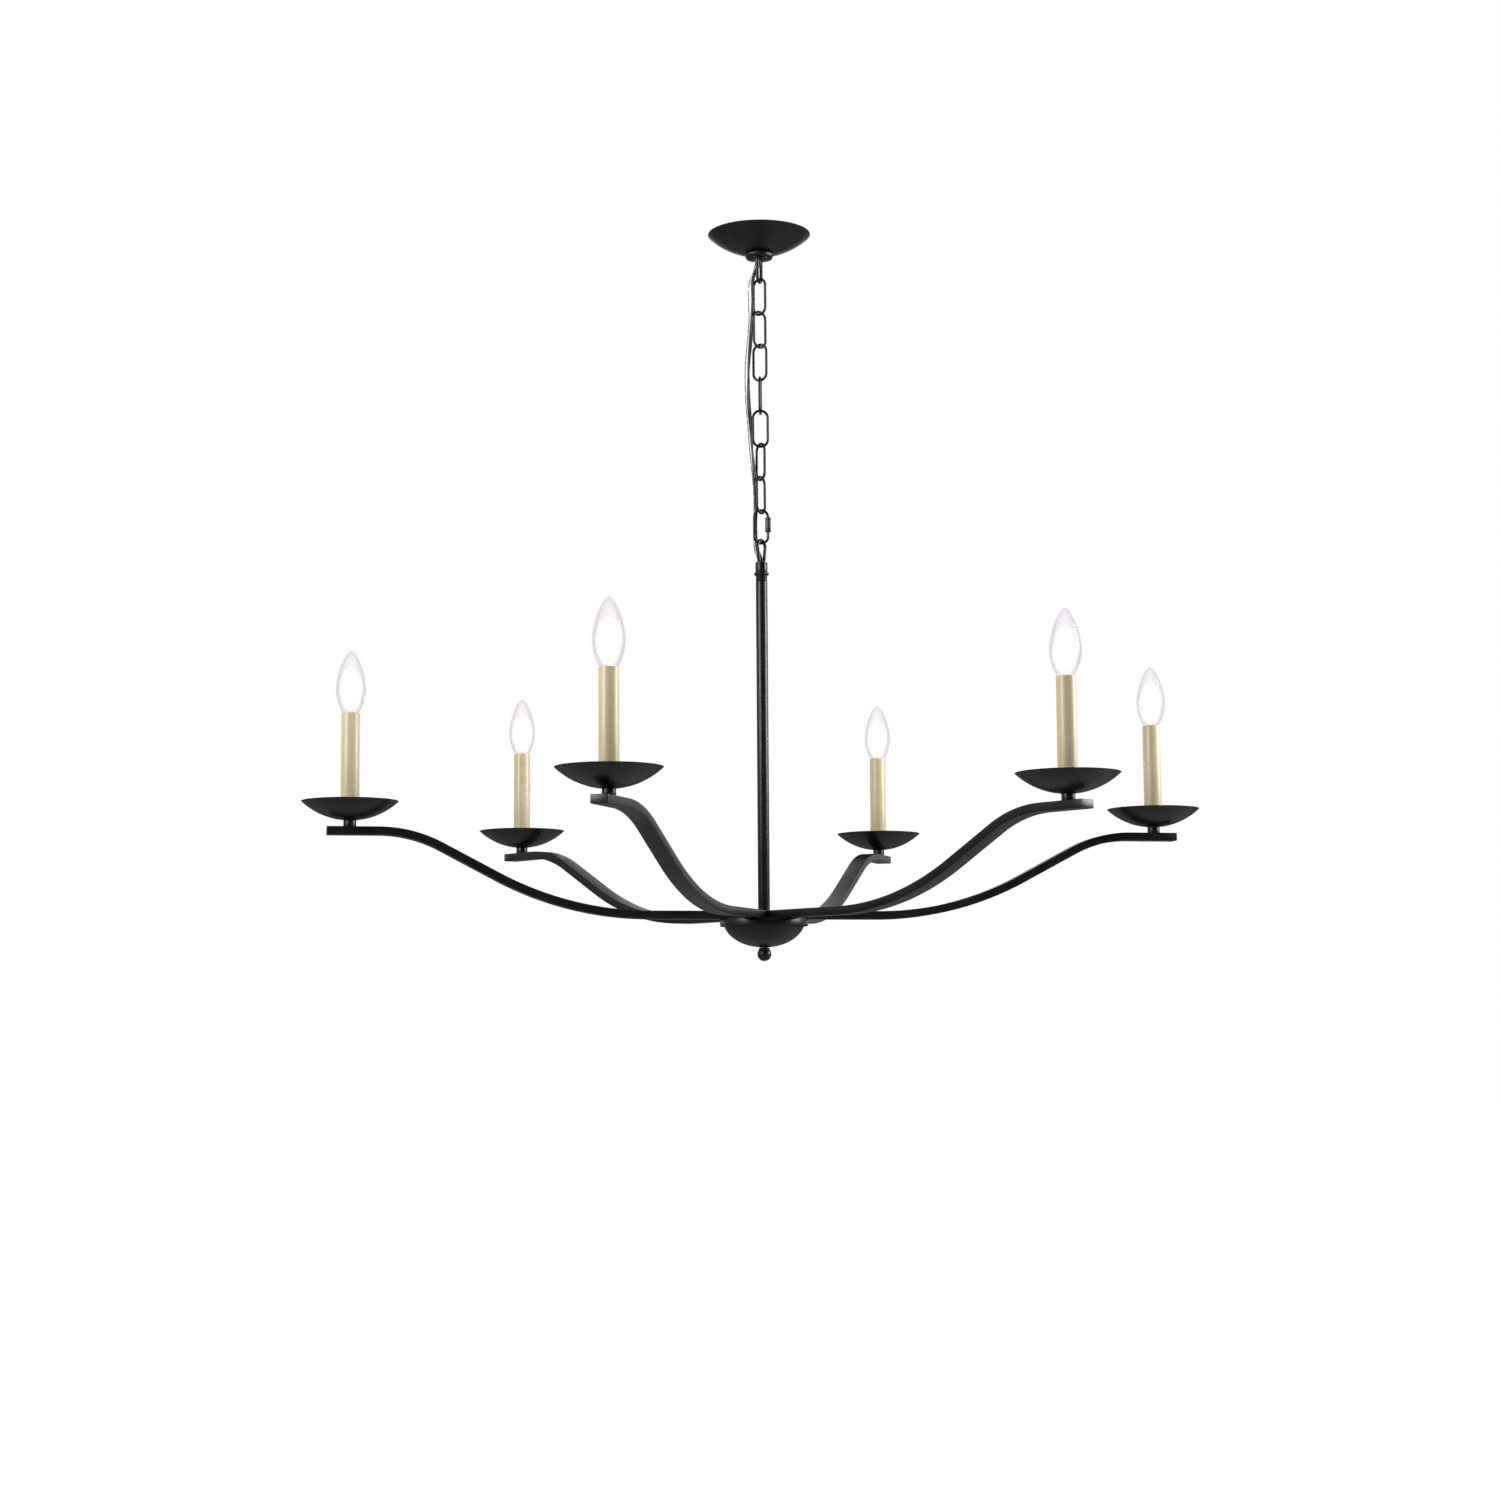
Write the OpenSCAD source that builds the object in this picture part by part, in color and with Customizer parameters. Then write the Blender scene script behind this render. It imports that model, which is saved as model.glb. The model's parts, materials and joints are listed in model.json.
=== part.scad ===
// Six-arm candle chandelier hung from a ceiling box by a short chain.
// Millimetres. The origin is the centre of the ceiling box on the ceiling plane, +Z is up and the
// fixture hangs below it. Arm 1 points along +X and the others follow every 60 degrees.

/* [Arms] */
// Distance from the centre line to each candle
candle_radius = 495; // [480:5:520]
// Height of an arm's outer end above its hub end
arm_rise = 98; // [90:1:104]
// Width of an arm's tube
arm_w = 20; // [19:0.5:22]
// Thickness of an arm's tube
arm_t = 9.8; // [9.6:0.1:11]
// Wall of an arm's tube
arm_wall = 1.5; // [1.2:0.1:1.6]
// Length of arm beyond the candle's centre
arm_tail = 27; // [20:1:34]

/* [Candles] */
// Diameter of a drip dish
dish_d = 114.3; // [105:0.1:120]
// Depth of a drip dish
dish_depth = 22.8; // [20:0.1:25]
// Diameter of a candle sleeve
sleeve_d = 22; // [21.5:0.1:24]
// Height of a candle sleeve's top above its dish's rim
sleeve_top = 104; // [100:1:110]
// Widest diameter of a bulb
bulb_d = 35.6; // [34:0.1:38]
// Length of bulb that shows above its sleeve
bulb_h = 74; // [68:1:80]

/* [Stem and hub] */
// Length of the stem tube
stem_len = 411.7; // [380:0.1:430]
// Diameter of the stem tube
stem_d = 14.3; // [14:0.1:15]
// Diameter of the hub plate
hub_d = 106.7; // [104:0.1:112]
// Depth of the hub plate's skirt
hub_skirt = 8.4; // [8:0.1:9]
// Diameter of the finial's ball
finial_d = 17; // [16:0.5:19]

/* [Chain] */
// Length of a chain link
link_len = 48.2; // [46:0.1:50]
// Width of a chain link
link_w = 21.3; // [20:0.1:23]
// Wire of the chain links and of the quick link
link_wire = 3.2; // [3:0.1:3.4]
// Length of the quick link
quick_len = 44.3; // [43:0.1:46]
// Width of the quick link
quick_w = 20.1; // [19.6:0.1:21]

/* [Ceiling] */
// Diameter of the canopy
canopy_d = 127; // [120:1:140]
// Depth of the canopy
canopy_depth = 26; // [25:0.5:28]
// Distance between the mounting slots
slot_spacing = 88.9; // [84:0.1:92]

/* [Hidden] */

arm_count = 6;
arm_step = 360 / arm_count;
gap = 0.3;              // clearance between pieces that move on each other
cut = 1;                // how far a cutting shape runs past a face
eps = 0.01;             // overlap that joins two shapes of one piece

black = "#2b2725";
cord_brown = "#2f211d";
grey = "#b9b9b6";
steel = "#8d8f92";
cream = "#d6c99d";

// Ceiling end
bar_half = 54;
bar_w = 18;
bar_t = 1.6;
thread_r = 4.8;         // outside of every threaded pipe
tapped_r = 4.85;        // hole that a threaded pipe is screwed into
pipe_bore_r = 3.2;
canopy_wall = 1.2;
canopy_hole_r = 13.5;
loop_collar_r = 12;
loop_collar_top = -13;
loop_collar_bottom = -31.5;
loop_thread_bottom = -26;
eye_wire = 4;
eye_r = 8;              // centre line radius of the round end of both eyes
canopy_eye_bottom = -62;
canopy_eye_turn = 62;
ring_r = 17.5;
ring_t = 5;
ring_drop = 0.7;        // height of the ring's top above the canopy's crown
cord_hole_r = 2.6;
ground_hole_r = 1;
ground_offset = 4.8;    // ground wire's distance from the centre line where it enters an eye's base

// Chain: each link hangs on the wire of the one above it
link_turns = [-50, 28, -41, 74, -11, -69, 47];
quick_turn = -11;
stem_eye_turn = 44;
link_count = len(link_turns);
link_pitch = link_len - 2 * link_wire - gap;
link_1_top = canopy_eye_bottom + eye_wire + gap + link_wire;
function link_z(k) = link_1_top - link_len / 2 - (k - 1) * link_pitch;
quick_z = link_z(link_count) - link_len / 2 + 2 * link_wire + gap - quick_len / 2;
quick_gap = 4.5;        // cut in the quick link's leg that its nut bridges
quick_gap_z = 7.2;      // its middle above the quick link's middle
quick_nut_h = 18.1;
quick_nut_z = 2.4;      // the nut's middle above the quick link's middle
quick_nut_across = 7;
quick_leg_x = (quick_w - link_wire) / 2;

// Stem
stem_eye_top = quick_z - quick_len / 2 + link_wire + gap + eye_wire;
stem_eye_h = 31.3;
collar_top = stem_eye_top - stem_eye_h;
collar_r = 7.45;
collar_h = 10.3;
bead_r = 9.2;
bead_h = 4.4;
skirt_r = 6.9;
skirt_h = 7.6;
spigot_r = 5.5;
spigot_h = 12;
collar_bore_r = 4.2;
plug_r = 5.8;
plug_h = 6;
eye_leg_x = 5;          // how far an eye's legs stand from the centre line at the stem
stem_top = collar_top - collar_h - bead_h - skirt_h;
stem_bottom = stem_top - stem_len;
stem_bore_r = 5.65;
stem_thread = 20;

// Hub
plate_top = stem_bottom;
plate_t = 2;
skirt_wall = 1.8;
hub_z = plate_top + arm_t / 2;      // height of the arms' centre line at the hub
cover_r = 48.1;
cover_depth = 25.3;
cover_wall = 1.2;
cover_straight = 6.5;
cover_top = plate_top - plate_t - gap;
cover_bottom = cover_top - cover_straight - cover_depth;
cover_hole_r = 5.4;
pipe_top = plate_top + stem_thread;
finial_z = cover_bottom - gap - 7.4;
finial_neck_r = 6.7;
nut_across = 14;
nut_h = 3.5;
wire_hole_r = 3.5;
wire_hole_x = 30;
screw_x = 42;
screw_y = 5.5;
screw_r = 2;
screw_head_r = 3.6;
screw_head_h = 2.2;
screw_reach = 5;        // how far a screw stands above the hub plate's underside
connector_x = 26;
connector_h = 11;
connector_r = 5.5;
connector_tip_r = 3.5;
connector_top = plate_top - 11;

// Arms: a flat hub end, an upward bend, a straight slope, a downward bend and a flat outer end
tip_z = hub_z + arm_rise;
bend_start = 140;
bend_end = candle_radius - 34;
arm_end = candle_radius + arm_tail;
span = bend_end - bend_start;
bend_sum = 0.95 * (span * span + arm_rise * arm_rise) / (2 * arm_rise);
low_bend_r = 0.715 * bend_sum;
high_bend_r = bend_sum - low_bend_r;
slope_len = sqrt(span * span + pow(arm_rise - bend_sum, 2) - bend_sum * bend_sum);
slope = atan2(arm_rise - bend_sum, span) - atan2(-bend_sum, slope_len);
bend_steps = 12;
arm_cavity_start = 24;
mitre_gap = 0.6;

// Candles
rim_z = tip_z + arm_t / 2 + 30.2;
dish_sheet = 1;
dish_sphere_r = (dish_d * dish_d / 4 + dish_depth * dish_depth) / (2 * dish_depth);
dish_flat_r = 11.4;
dish_floor = rim_z - dish_depth + dish_sphere_r - sqrt(pow(dish_sphere_r, 2) - pow(dish_flat_r, 2));
neck_r = 7.6;
neck_top = dish_floor;
neck_bottom = tip_z + arm_t / 2;
sleeve_wall = 1.2;
sleeve_z0 = dish_floor + dish_sheet;
sleeve_z1 = rim_z + sleeve_top;
socket_r = 8.6;
socket_bore_r = 6.2;
socket_top = sleeve_z1 - 7;
socket_floor = socket_top - 21.3;
socket_bottom = socket_top - 41;
strap_y = 6.9;
strap_w = 10;
strap_t = 1.6;
foot_r = 8.4;
foot_t = 1.6;
foot_z = sleeve_z0 + nut_h;
lead_r = 1.5;
base_r = 5.9;
base_h = 21;
base_tip_h = 3;
glass_wall = 0.8;

// ---------------------------------------------------------------- shapes and helpers

// Turns and places children at each arm's candle
module at_candles() {
    for (i = [1:arm_count]) rotate([0, 0, arm_step * (i - 1)]) translate([candle_radius, 0, 0]) children();
}

// A straight pipe from z0 up to z1
module pipe(z0, z1, outer, inner) {
    translate([0, 0, z0]) difference() {
        cylinder(h = z1 - z0, r = outer, $fn = 48);
        translate([0, 0, -cut]) cylinder(h = z1 - z0 + 2 * cut, r = inner, $fn = 48);
    }
}

// A hexagonal nut whose top is at z
module hex_nut(z, across, h, bore) {
    translate([0, 0, z - h]) difference() {
        cylinder(h = h, r = across / 2 / cos(30), $fn = 6);
        translate([0, 0, -cut]) cylinder(h = h + 2 * cut, r = bore, $fn = 48);
    }
}

// Half of a round ring of wire, standing in the XZ plane with its round side up
module half_ring(radius, wire) {
    rotate([90, 0, 0]) rotate_extrude(angle = 180, $fn = 64)
        translate([radius, 0]) circle(d = wire, $fn = 24);
}

// A long ring of wire, standing in the XZ plane and centred on the origin
module oval_ring(length, width, wire) {
    side = (width - wire) / 2;
    straight = length - width;
    for (s = [-1, 1]) translate([s * side, 0, 0])
        cylinder(h = straight + 2 * eps, d = wire, center = true, $fn = 24);
    translate([0, 0, straight / 2]) half_ring(side, wire);
    translate([0, 0, -straight / 2]) rotate([180, 0, 0]) half_ring(side, wire);
}

// A round bar between two points of the XZ plane
module bar_between(a, b, d) {
    translate([a.x, 0, a.y]) rotate([0, atan2(b.x - a.x, b.y - a.y), 0])
        cylinder(h = norm(b - a), d = d, $fn = 24);
}

// Points of a circular arc in a plane
function arc(cx, cy, r, a0, a1, n) =
    [for (i = [0:n]) let (a = a0 + (a1 - a0) * i / n) [cx + r * cos(a), cy + r * sin(a)]];

function reversed(p) = [for (i = [len(p) - 1:-1:0]) p[i]];

// Tube of radius r swept along a route. Each ring faces the mean direction of its two neighbours.
function unit(v) = v / norm(v);
function heading(p, i) = unit(p[min(i + 1, len(p) - 1)] - p[max(i - 1, 0)]);
function side_of(t) = unit(cross(t, abs(t.y) < 0.9 ? [0, 1, 0] : [1, 0, 0]));
module tube(route, r, sides = 8) {
    n = len(route);
    rings = [for (i = [0:n - 1]) let (t = heading(route, i), u = side_of(t), v = cross(t, u))
             for (k = [0:sides - 1]) let (a = 360 * k / sides) route[i] + r * (cos(a) * u + sin(a) * v)];
    walls = [for (i = [0:n - 2]) for (k = [0:sides - 1]) let (m = (k + 1) % sides)
             [i * sides + k, (i + 1) * sides + k, (i + 1) * sides + m, i * sides + m]];
    ends = [[for (k = [0:sides - 1]) k], [for (k = [sides - 1:-1:0]) (n - 1) * sides + k]];
    polyhedron(points = rings, faces = concat(walls, ends), convexity = 8);
}

// ---------------------------------------------------------------- ceiling end

module crossbar() color(steel) difference() {
    translate([-bar_half, -bar_w / 2, -bar_t]) cube([2 * bar_half, bar_w, bar_t]);
    translate([0, 0, -bar_t - cut]) cylinder(h = bar_t + 2 * cut, r = tapped_r, $fn = 48);
    for (s = [-1, 1]) translate([s * slot_spacing / 2, 0, -bar_t - cut]) {
        for (e = [-1, 1]) translate([e * 2.4, 0, 0]) cylinder(h = bar_t + 2 * cut, r = 2.6, $fn = 32);
        translate([-2.4, -2.6, 0]) cube([4.8, 5.2, bar_t + 2 * cut]);
    }
}

// Threaded pipe with a side hole that lets the lead out under the crossbar
module crossbar_nipple() color(steel) difference() {
    pipe(loop_thread_bottom, -0.2, thread_r, pipe_bore_r);
    translate([0, 0, -9]) rotate([-90, 0, 0]) cylinder(h = 8, r = 2.2, $fn = 32);
}

module nipple_nut() color(steel) hex_nut(-bar_t, nut_across, nut_h, tapped_r);

// Shallow dome, open at the ceiling
module canopy() color(black) {
    r = (canopy_d * canopy_d / 4 + canopy_depth * canopy_depth) / (2 * canopy_depth);
    translate([0, 0, r - canopy_depth]) difference() {
        sphere(r = r, $fn = 128);
        sphere(r = r - canopy_wall, $fn = 128);
        translate([-2 * r, -2 * r, canopy_depth - r]) cube([4 * r, 4 * r, 3 * r]);
        translate([0, 0, -r - cut]) cylinder(h = canopy_depth, r = canopy_hole_r, $fn = 64);
    }
}

module canopy_ring() color(black) {
    top = -canopy_depth + ring_drop;
    difference() {
        translate([0, 0, top - ring_t]) {
            cylinder(h = ring_t - 1.5, r1 = ring_r - 1.5, r2 = ring_r, $fn = 64);
            translate([0, 0, ring_t - 1.5]) cylinder(h = 1.5, r = ring_r, $fn = 64);
        }
        translate([0, 0, top - ring_t - cut]) cylinder(h = ring_t + 2 * cut, r = loop_collar_r + gap, $fn = 64);
    }
}

// Threaded collar with an eye below it and a wire way down its middle
module canopy_loop() color(black) {
    leg_foot = canopy_eye_bottom + eye_wire / 2 + eye_r;
    difference() {
        translate([0, 0, loop_collar_bottom]) cylinder(h = loop_collar_top - loop_collar_bottom, r = loop_collar_r, $fn = 64);
        translate([0, 0, loop_thread_bottom]) cylinder(h = 20, r = tapped_r, $fn = 48);
        translate([0, 0, loop_collar_bottom - cut]) cylinder(h = 8, r = cord_hole_r, $fn = 32);
        rotate([0, 0, canopy_eye_turn + 90]) translate([ground_offset, 0, loop_collar_bottom - cut])
            cylinder(h = 4 + cut, r = ground_hole_r, $fn = 24);
    }
    rotate([0, 0, canopy_eye_turn]) {
        for (s = [-1, 1]) translate([s * eye_r, 0, leg_foot - eps])
            cylinder(h = loop_collar_bottom + cut - leg_foot, d = eye_wire, $fn = 24);
        translate([0, 0, leg_foot]) rotate([180, 0, 0]) half_ring(eye_r, eye_wire);
    }
}

// Lead from the cord's end up the nipple and out of its side hole into a connector
canopy_lead_route = [[0, 0, -28], [0, 0, -22], [0, 0, -16], [0, 0.6, -12], [0, 2.6, -9.6], [0, 6, -8.8],
                     [0, 12, -8.2], [0, 18.6, -7.4], [0, 22, -7.05], [0, 23.7, -7]];
module canopy_lead() color(cord_brown) tube(canopy_lead_route, lead_r);

// Wire connectors that join the lead to the house wires: cones lying under the crossbar
module ceiling_connectors() color("#c98a3a") for (a = [0, 120, 240]) rotate([0, 0, a]) {
    translate([0, 24, -7]) rotate([-90, 0, 0]) cylinder(h = 14, r1 = 4.5, r2 = 3, $fn = 32);
}

// ---------------------------------------------------------------- chain

module chain_link(k) color(black) translate([0, 0, link_z(k)]) rotate([0, 0, link_turns[k - 1]])
    oval_ring(link_len, link_w, link_wire);

module quick_link() color(black) translate([0, 0, quick_z]) rotate([0, 0, quick_turn]) difference() {
    oval_ring(quick_len, quick_w, link_wire);
    translate([quick_leg_x, 0, quick_gap_z]) cube([2 * link_wire, 2 * link_wire, quick_gap], center = true);
}

module quick_link_nut() color(black) translate([0, 0, quick_z]) rotate([0, 0, quick_turn])
    translate([quick_leg_x, 0, 0])
    hex_nut(quick_nut_z + quick_nut_h / 2, quick_nut_across, quick_nut_h, link_wire / 2 + gap / 2);

// Route of the supply cord, from the canopy loop's wire way down beside the chain to the stem's
cord_d = 4.8;
cord_route = [[0, 0, -28], [0, 0, -32], [-0.5, 0.3, -36], [-2, 0.9, -41], [-4.3, 1.5, -46.5],
              [-6.4, 1.8, -52], [-7.9, 1.8, -58], [-8.5, 1.7, -66], [-8.6, 1.7, -78], [-8.6, 1.6, -90],
              [-9, 1.7, -104], [-9.8, 1.9, -118], [-11, 2.1, -134], [-12.6, 2.4, -152],
              [-13.7, 2.7, -170], [-14, 2.8, -188], [-13.8, 3.2, -206], [-12.8, 4.2, -222],
              [-11.3, 5.6, -238], [-10, 6.4, -254], [-9.2, 6.4, -270], [-7.8, 5.8, -286],
              [-6.9, 4.5, -302], [-6, 4.3, -318], [-5.4, 4.9, -334], [-5.1, 5.5, -350],
              [-5.1, 5.6, -368], [-5, 5.6, -386], [-4.3, 4.9, -393], [-2.9, 3.4, -399],
              [-1.2, 1.4, -405], [-0.3, 0.4, -409], [0, 0, -413], [0, 0, -422]];
module supply_cord() color(cord_brown) tube(cord_route, cord_d / 2);

// Route of the bare ground wire, from the canopy loop's base to the stem loop's base
ground_d = 1.6;
ground_route = [[-4.2, 2.3, -27.5], [-4.4, 2.4, -36], [-7, 4, -46], [-10.6, 5.6, -56], [-12.6, 5.6, -68],
                [-12.8, 4.6, -84], [-12.6, 3.6, -104], [-13.8, 3.2, -122], [-15.6, 3, -140],
                [-17.2, 3.2, -158], [-18, 3.6, -176], [-17.8, 4.4, -196], [-16.6, 5.8, -216],
                [-14.6, 7.6, -236], [-13, 9, -254], [-11.6, 9.4, -272], [-9.8, 8.8, -292],
                [-8.2, 7.8, -312], [-7.2, 8, -332], [-7.4, 8.6, -352], [-7.8, 8.8, -370],
                [-7.4, 8.6, -388], [-6, 6.6, -399], [-3.8, 4, -407], [-3.35, 3.46, -410.6], [-3.33, 3.45, -415.5]];
module ground_wire() color(grey) tube(ground_route, ground_d / 2);

// ---------------------------------------------------------------- stem

// Eye whose legs close in towards the stem, on a plug that fills the collar's mouth
module stem_loop() color(black) {
    shoulder = stem_eye_top - eye_wire / 2 - eye_r;
    difference() {
        union() {
            rotate([0, 0, stem_eye_turn]) {
                translate([0, 0, shoulder]) half_ring(eye_r, eye_wire);
                for (s = [-1, 1]) {
                    bar_between([s * eye_r, shoulder], [s * eye_leg_x, collar_top + 0.8], eye_wire);
                    translate([s * eye_r, 0, shoulder]) sphere(d = eye_wire, $fn = 24);
                }
            }
            translate([0, 0, collar_top - plug_h]) cylinder(h = plug_h, r = plug_r, $fn = 48);
            translate([0, 0, collar_top]) cylinder(h = 1.6, r = collar_r, $fn = 48);
        }
        translate([0, 0, collar_top - plug_h - cut]) cylinder(h = plug_h + 6, r = cord_hole_r, $fn = 32);
        rotate([0, 0, stem_eye_turn + 90]) translate([ground_offset, 0, collar_top - 3])
            cylinder(h = 8, r = ground_hole_r, $fn = 24);
    }
}

// Turned collar: mouth, bead, skirt and a spigot that goes into the stem tube
module stem_collar() color(black) {
    z1 = collar_top - collar_h;
    z2 = z1 - bead_h;
    z3 = z2 - skirt_h;
    difference() {
        rotate_extrude($fn = 64) polygon(concat(
            [[0, collar_top], [collar_r, collar_top], [collar_r, z1]],
            arc(bead_r - bead_h / 2, (z1 + z2) / 2, bead_h / 2, 90, -90, 8),
            [[skirt_r, z2], [skirt_r, z3], [spigot_r, z3], [spigot_r, z3 - spigot_h], [0, z3 - spigot_h]]));
        translate([0, 0, collar_top - plug_h]) cylinder(h = plug_h + cut, r = plug_r, $fn = 48);
        translate([0, 0, z3 - spigot_h - cut])
            cylinder(h = collar_top - z3 + spigot_h, r = collar_bore_r, $fn = 48);
    }
}

module stem_tube() color(black) difference() {
    translate([0, 0, stem_bottom]) cylinder(h = stem_len, r = stem_d / 2, $fn = 64);
    translate([0, 0, stem_bottom + stem_thread]) cylinder(h = stem_len, r = stem_bore_r, $fn = 48);
    translate([0, 0, stem_bottom - cut]) cylinder(h = stem_thread + 2 * cut, r = tapped_r, $fn = 48);
}

// ---------------------------------------------------------------- hub

// Round plate with a skirt, drilled for the arms' screws and leads
module hub_plate() color(black) difference() {
    rotate_extrude($fn = 96) polygon([
        [tapped_r, plate_top], [hub_d / 2 - 0.6, plate_top], [hub_d / 2, plate_top - 0.6],
        [hub_d / 2, plate_top - hub_skirt + 1.2], [hub_d / 2 - 0.6, plate_top - hub_skirt],
        [hub_d / 2 - skirt_wall, plate_top - hub_skirt], [hub_d / 2 - skirt_wall, plate_top - plate_t],
        [tapped_r, plate_top - plate_t]]);
    for (i = [1:arm_count]) rotate([0, 0, arm_step * (i - 1)]) translate([0, 0, plate_top - plate_t - cut]) {
        translate([wire_hole_x, 0, 0]) cylinder(h = plate_t + 2 * cut, r = wire_hole_r, $fn = 32);
        for (s = [-1, 1]) translate([screw_x, s * screw_y, 0])
            cylinder(h = plate_t + 2 * cut, r = screw_r + 0.05, $fn = 32);
    }
}

// Threaded pipes: one joins stem, hub and finial, and one stands under each candle
module threaded_nipples() color(steel) {
    difference() {
        pipe(finial_z - 1, pipe_top, thread_r, pipe_bore_r);
        translate([0, 0, plate_top - 8.6]) rotate([90, 0, 0]) cylinder(h = 8, r = 2.2, $fn = 32);
    }
    at_candles() pipe(neck_bottom - arm_wall - 0.5, foot_z + foot_t + 4, thread_r, pipe_bore_r);
}

module lock_nuts() color(steel) {
    hex_nut(plate_top - plate_t, nut_across, nut_h, tapped_r);
    at_candles() hex_nut(sleeve_z0 + nut_h, nut_across, nut_h, tapped_r);
}

// Two screws hold each arm to the hub plate
module arm_screws() color(steel) for (i = [1:arm_count], s = [-1, 1])
    rotate([0, 0, arm_step * (i - 1)]) translate([screw_x, s * screw_y, plate_top - plate_t]) {
        cylinder(h = screw_reach, r = screw_r, $fn = 32);
        translate([0, 0, -screw_head_h]) cylinder(h = screw_head_h, r1 = screw_head_r - 1, r2 = screw_head_r, $fn = 32);
    }

// Wire connectors inside the hub cover, one between each second pair of arms
module hub_connectors() color("#c98a3a") for (a = [30, 150, 270])
    rotate([0, 0, a]) translate([connector_x, 0, connector_top - connector_h])
        cylinder(h = connector_h, r1 = connector_tip_r, r2 = connector_r, $fn = 32);

// Outline of the hub cover: a straight lip, then a curve to the flat bottom
function cover_line(r, lip, depth) = concat([[r, cover_top]],
    [for (i = [0:10]) let (t = i / 10, s = 1 - t)
        [s * s * s * r + 3 * s * s * t * 0.9 * r + 3 * s * t * t * 0.55 * r,
         cover_top - lip - depth * (3 * s * s * t * 0.5 + 3 * s * t * t + t * t * t)]]);

module hub_cover() color(black) difference() {
    rotate_extrude($fn = 96) polygon(concat(cover_line(cover_r, cover_straight, cover_depth),
        reversed(cover_line(cover_r - cover_wall, cover_straight, cover_depth - cover_wall))));
    translate([0, 0, cover_bottom - cut]) cylinder(h = 5, r = cover_hole_r, $fn = 48);
}

module finial() color(black) {
    r = finial_d / 2;
    shoulder = acos(finial_neck_r / r);
    difference() {
        rotate_extrude($fn = 64) polygon(concat(
            [[0, cover_bottom - gap], [finial_neck_r, cover_bottom - gap]],
            arc(0, finial_z, r, shoulder, -90, 16)));
        translate([0, 0, finial_z - 1.4]) cylinder(h = 20, r = thread_r + gap, $fn = 48);
    }
}

// ---------------------------------------------------------------- arms

// One edge of an arm's side outline, h away from the centre line
function arm_edge(h, x0, x1) = concat(
    [[x0, hub_z + h]],
    arc(bend_start, hub_z + low_bend_r, low_bend_r - h, -90, -90 + slope, bend_steps),
    arc(bend_end, tip_z - high_bend_r, high_bend_r + h, 90 + slope, 90, bend_steps),
    [[x1, tip_z + h]]);

// A flat bar with the arm's side outline
module arm_bar(t, w, x0, x1) rotate([90, 0, 0]) linear_extrude(height = w, center = true)
    polygon(concat(arm_edge(t / 2, x0, x1), reversed(arm_edge(-t / 2, x0, x1))));

// Rectangular tube, mitred and notched at the stem, closed at its end
module arm(i) color(black) rotate([0, 0, arm_step * (i - 1)]) {
    far = 2 * arm_end;
    apex = mitre_gap / 2 / sin(arm_step / 2);
    difference() {
        intersection() {
            arm_bar(arm_t, arm_w, 0, arm_end);
            translate([0, 0, hub_z - arm_t]) linear_extrude(height = 3 * arm_rise)
                polygon([[apex, 0], [far, -(far - apex) * tan(arm_step / 2)], [far, (far - apex) * tan(arm_step / 2)]]);
        }
        arm_bar(arm_t - 2 * arm_wall, arm_w - 2 * arm_wall, arm_cavity_start, arm_end - arm_wall);
        translate([0, 0, plate_top - cut]) cylinder(h = arm_t + 2 * cut, r = stem_d / 2 + 0.35, $fn = 64);
        translate([wire_hole_x, 0, plate_top - cut]) cylinder(h = arm_wall + 2 * cut, r = wire_hole_r, $fn = 32);
        for (s = [-1, 1]) translate([screw_x, s * screw_y, plate_top - cut])
            cylinder(h = arm_wall + 2 * cut, r = screw_r + 0.05, $fn = 32);
        translate([candle_radius, 0, neck_bottom - arm_wall - cut])
            cylinder(h = arm_wall + 2 * cut, r = tapped_r, $fn = 48);
    }
}

// Leads: one through each arm from its socket to a hub connector, and one down the stem
function lead_route(s) = concat(
    [[candle_radius, 0, socket_bottom], [candle_radius, 0, (socket_bottom + neck_bottom) / 2],
     [candle_radius, 0, neck_bottom + 6], [candle_radius, 0, neck_bottom - 1],
     [candle_radius - 1.6, 0, neck_bottom - 4.6], [candle_radius - 6, 0, neck_bottom - 6]],
    [for (a = [0:3]) let (b = slope * a / 3) [bend_end - high_bend_r * sin(b), 0,
        tip_z - high_bend_r * (1 - cos(b)) - 1]],
    [for (a = [3:-1:0]) let (b = slope * a / 3) [bend_start + low_bend_r * sin(b), 0,
        hub_z + low_bend_r * (1 - cos(b)) - 1]],
    [[60, 0, hub_z - 1], [37, 0, hub_z - 0.8], [32.6, 0, hub_z - 1.6], [30.4, 0, hub_z - 3.8], [30, 0, hub_z - 8],
     [28.6, s * 3, hub_z - 11.4], [25.8, s * 7.6, hub_z - 12.6], [24.2, s * 10.2, connector_top + 1.8],
     [24, s * 10.5, connector_top + 0.45]]);
stem_lead_route = [[0, 0, -422.3], [0, 0, -600], [0, 0, plate_top + 6], [0, 0, plate_top - 3],
                   [0, -1.2, plate_top - 6.6], [0, -4, plate_top - 8.4], [0, -9, plate_top - 8.8],
                   [0, -16, plate_top - 8.2], [0, -20.2, plate_top - 8.4], [0, -22.2, plate_top - 9.5],
                   [0, -22.4, connector_top + 0.3]];
module fixture_leads() color(cord_brown) {
    for (i = [1:arm_count]) rotate([0, 0, arm_step * (i - 1)]) tube(lead_route(i % 2 == 1 ? 1 : -1), lead_r);
    tube(stem_lead_route, lead_r);
}

// ---------------------------------------------------------------- candles

module candle_necks() color(black) at_candles() pipe(neck_bottom, neck_top, neck_r, tapped_r);

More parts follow.
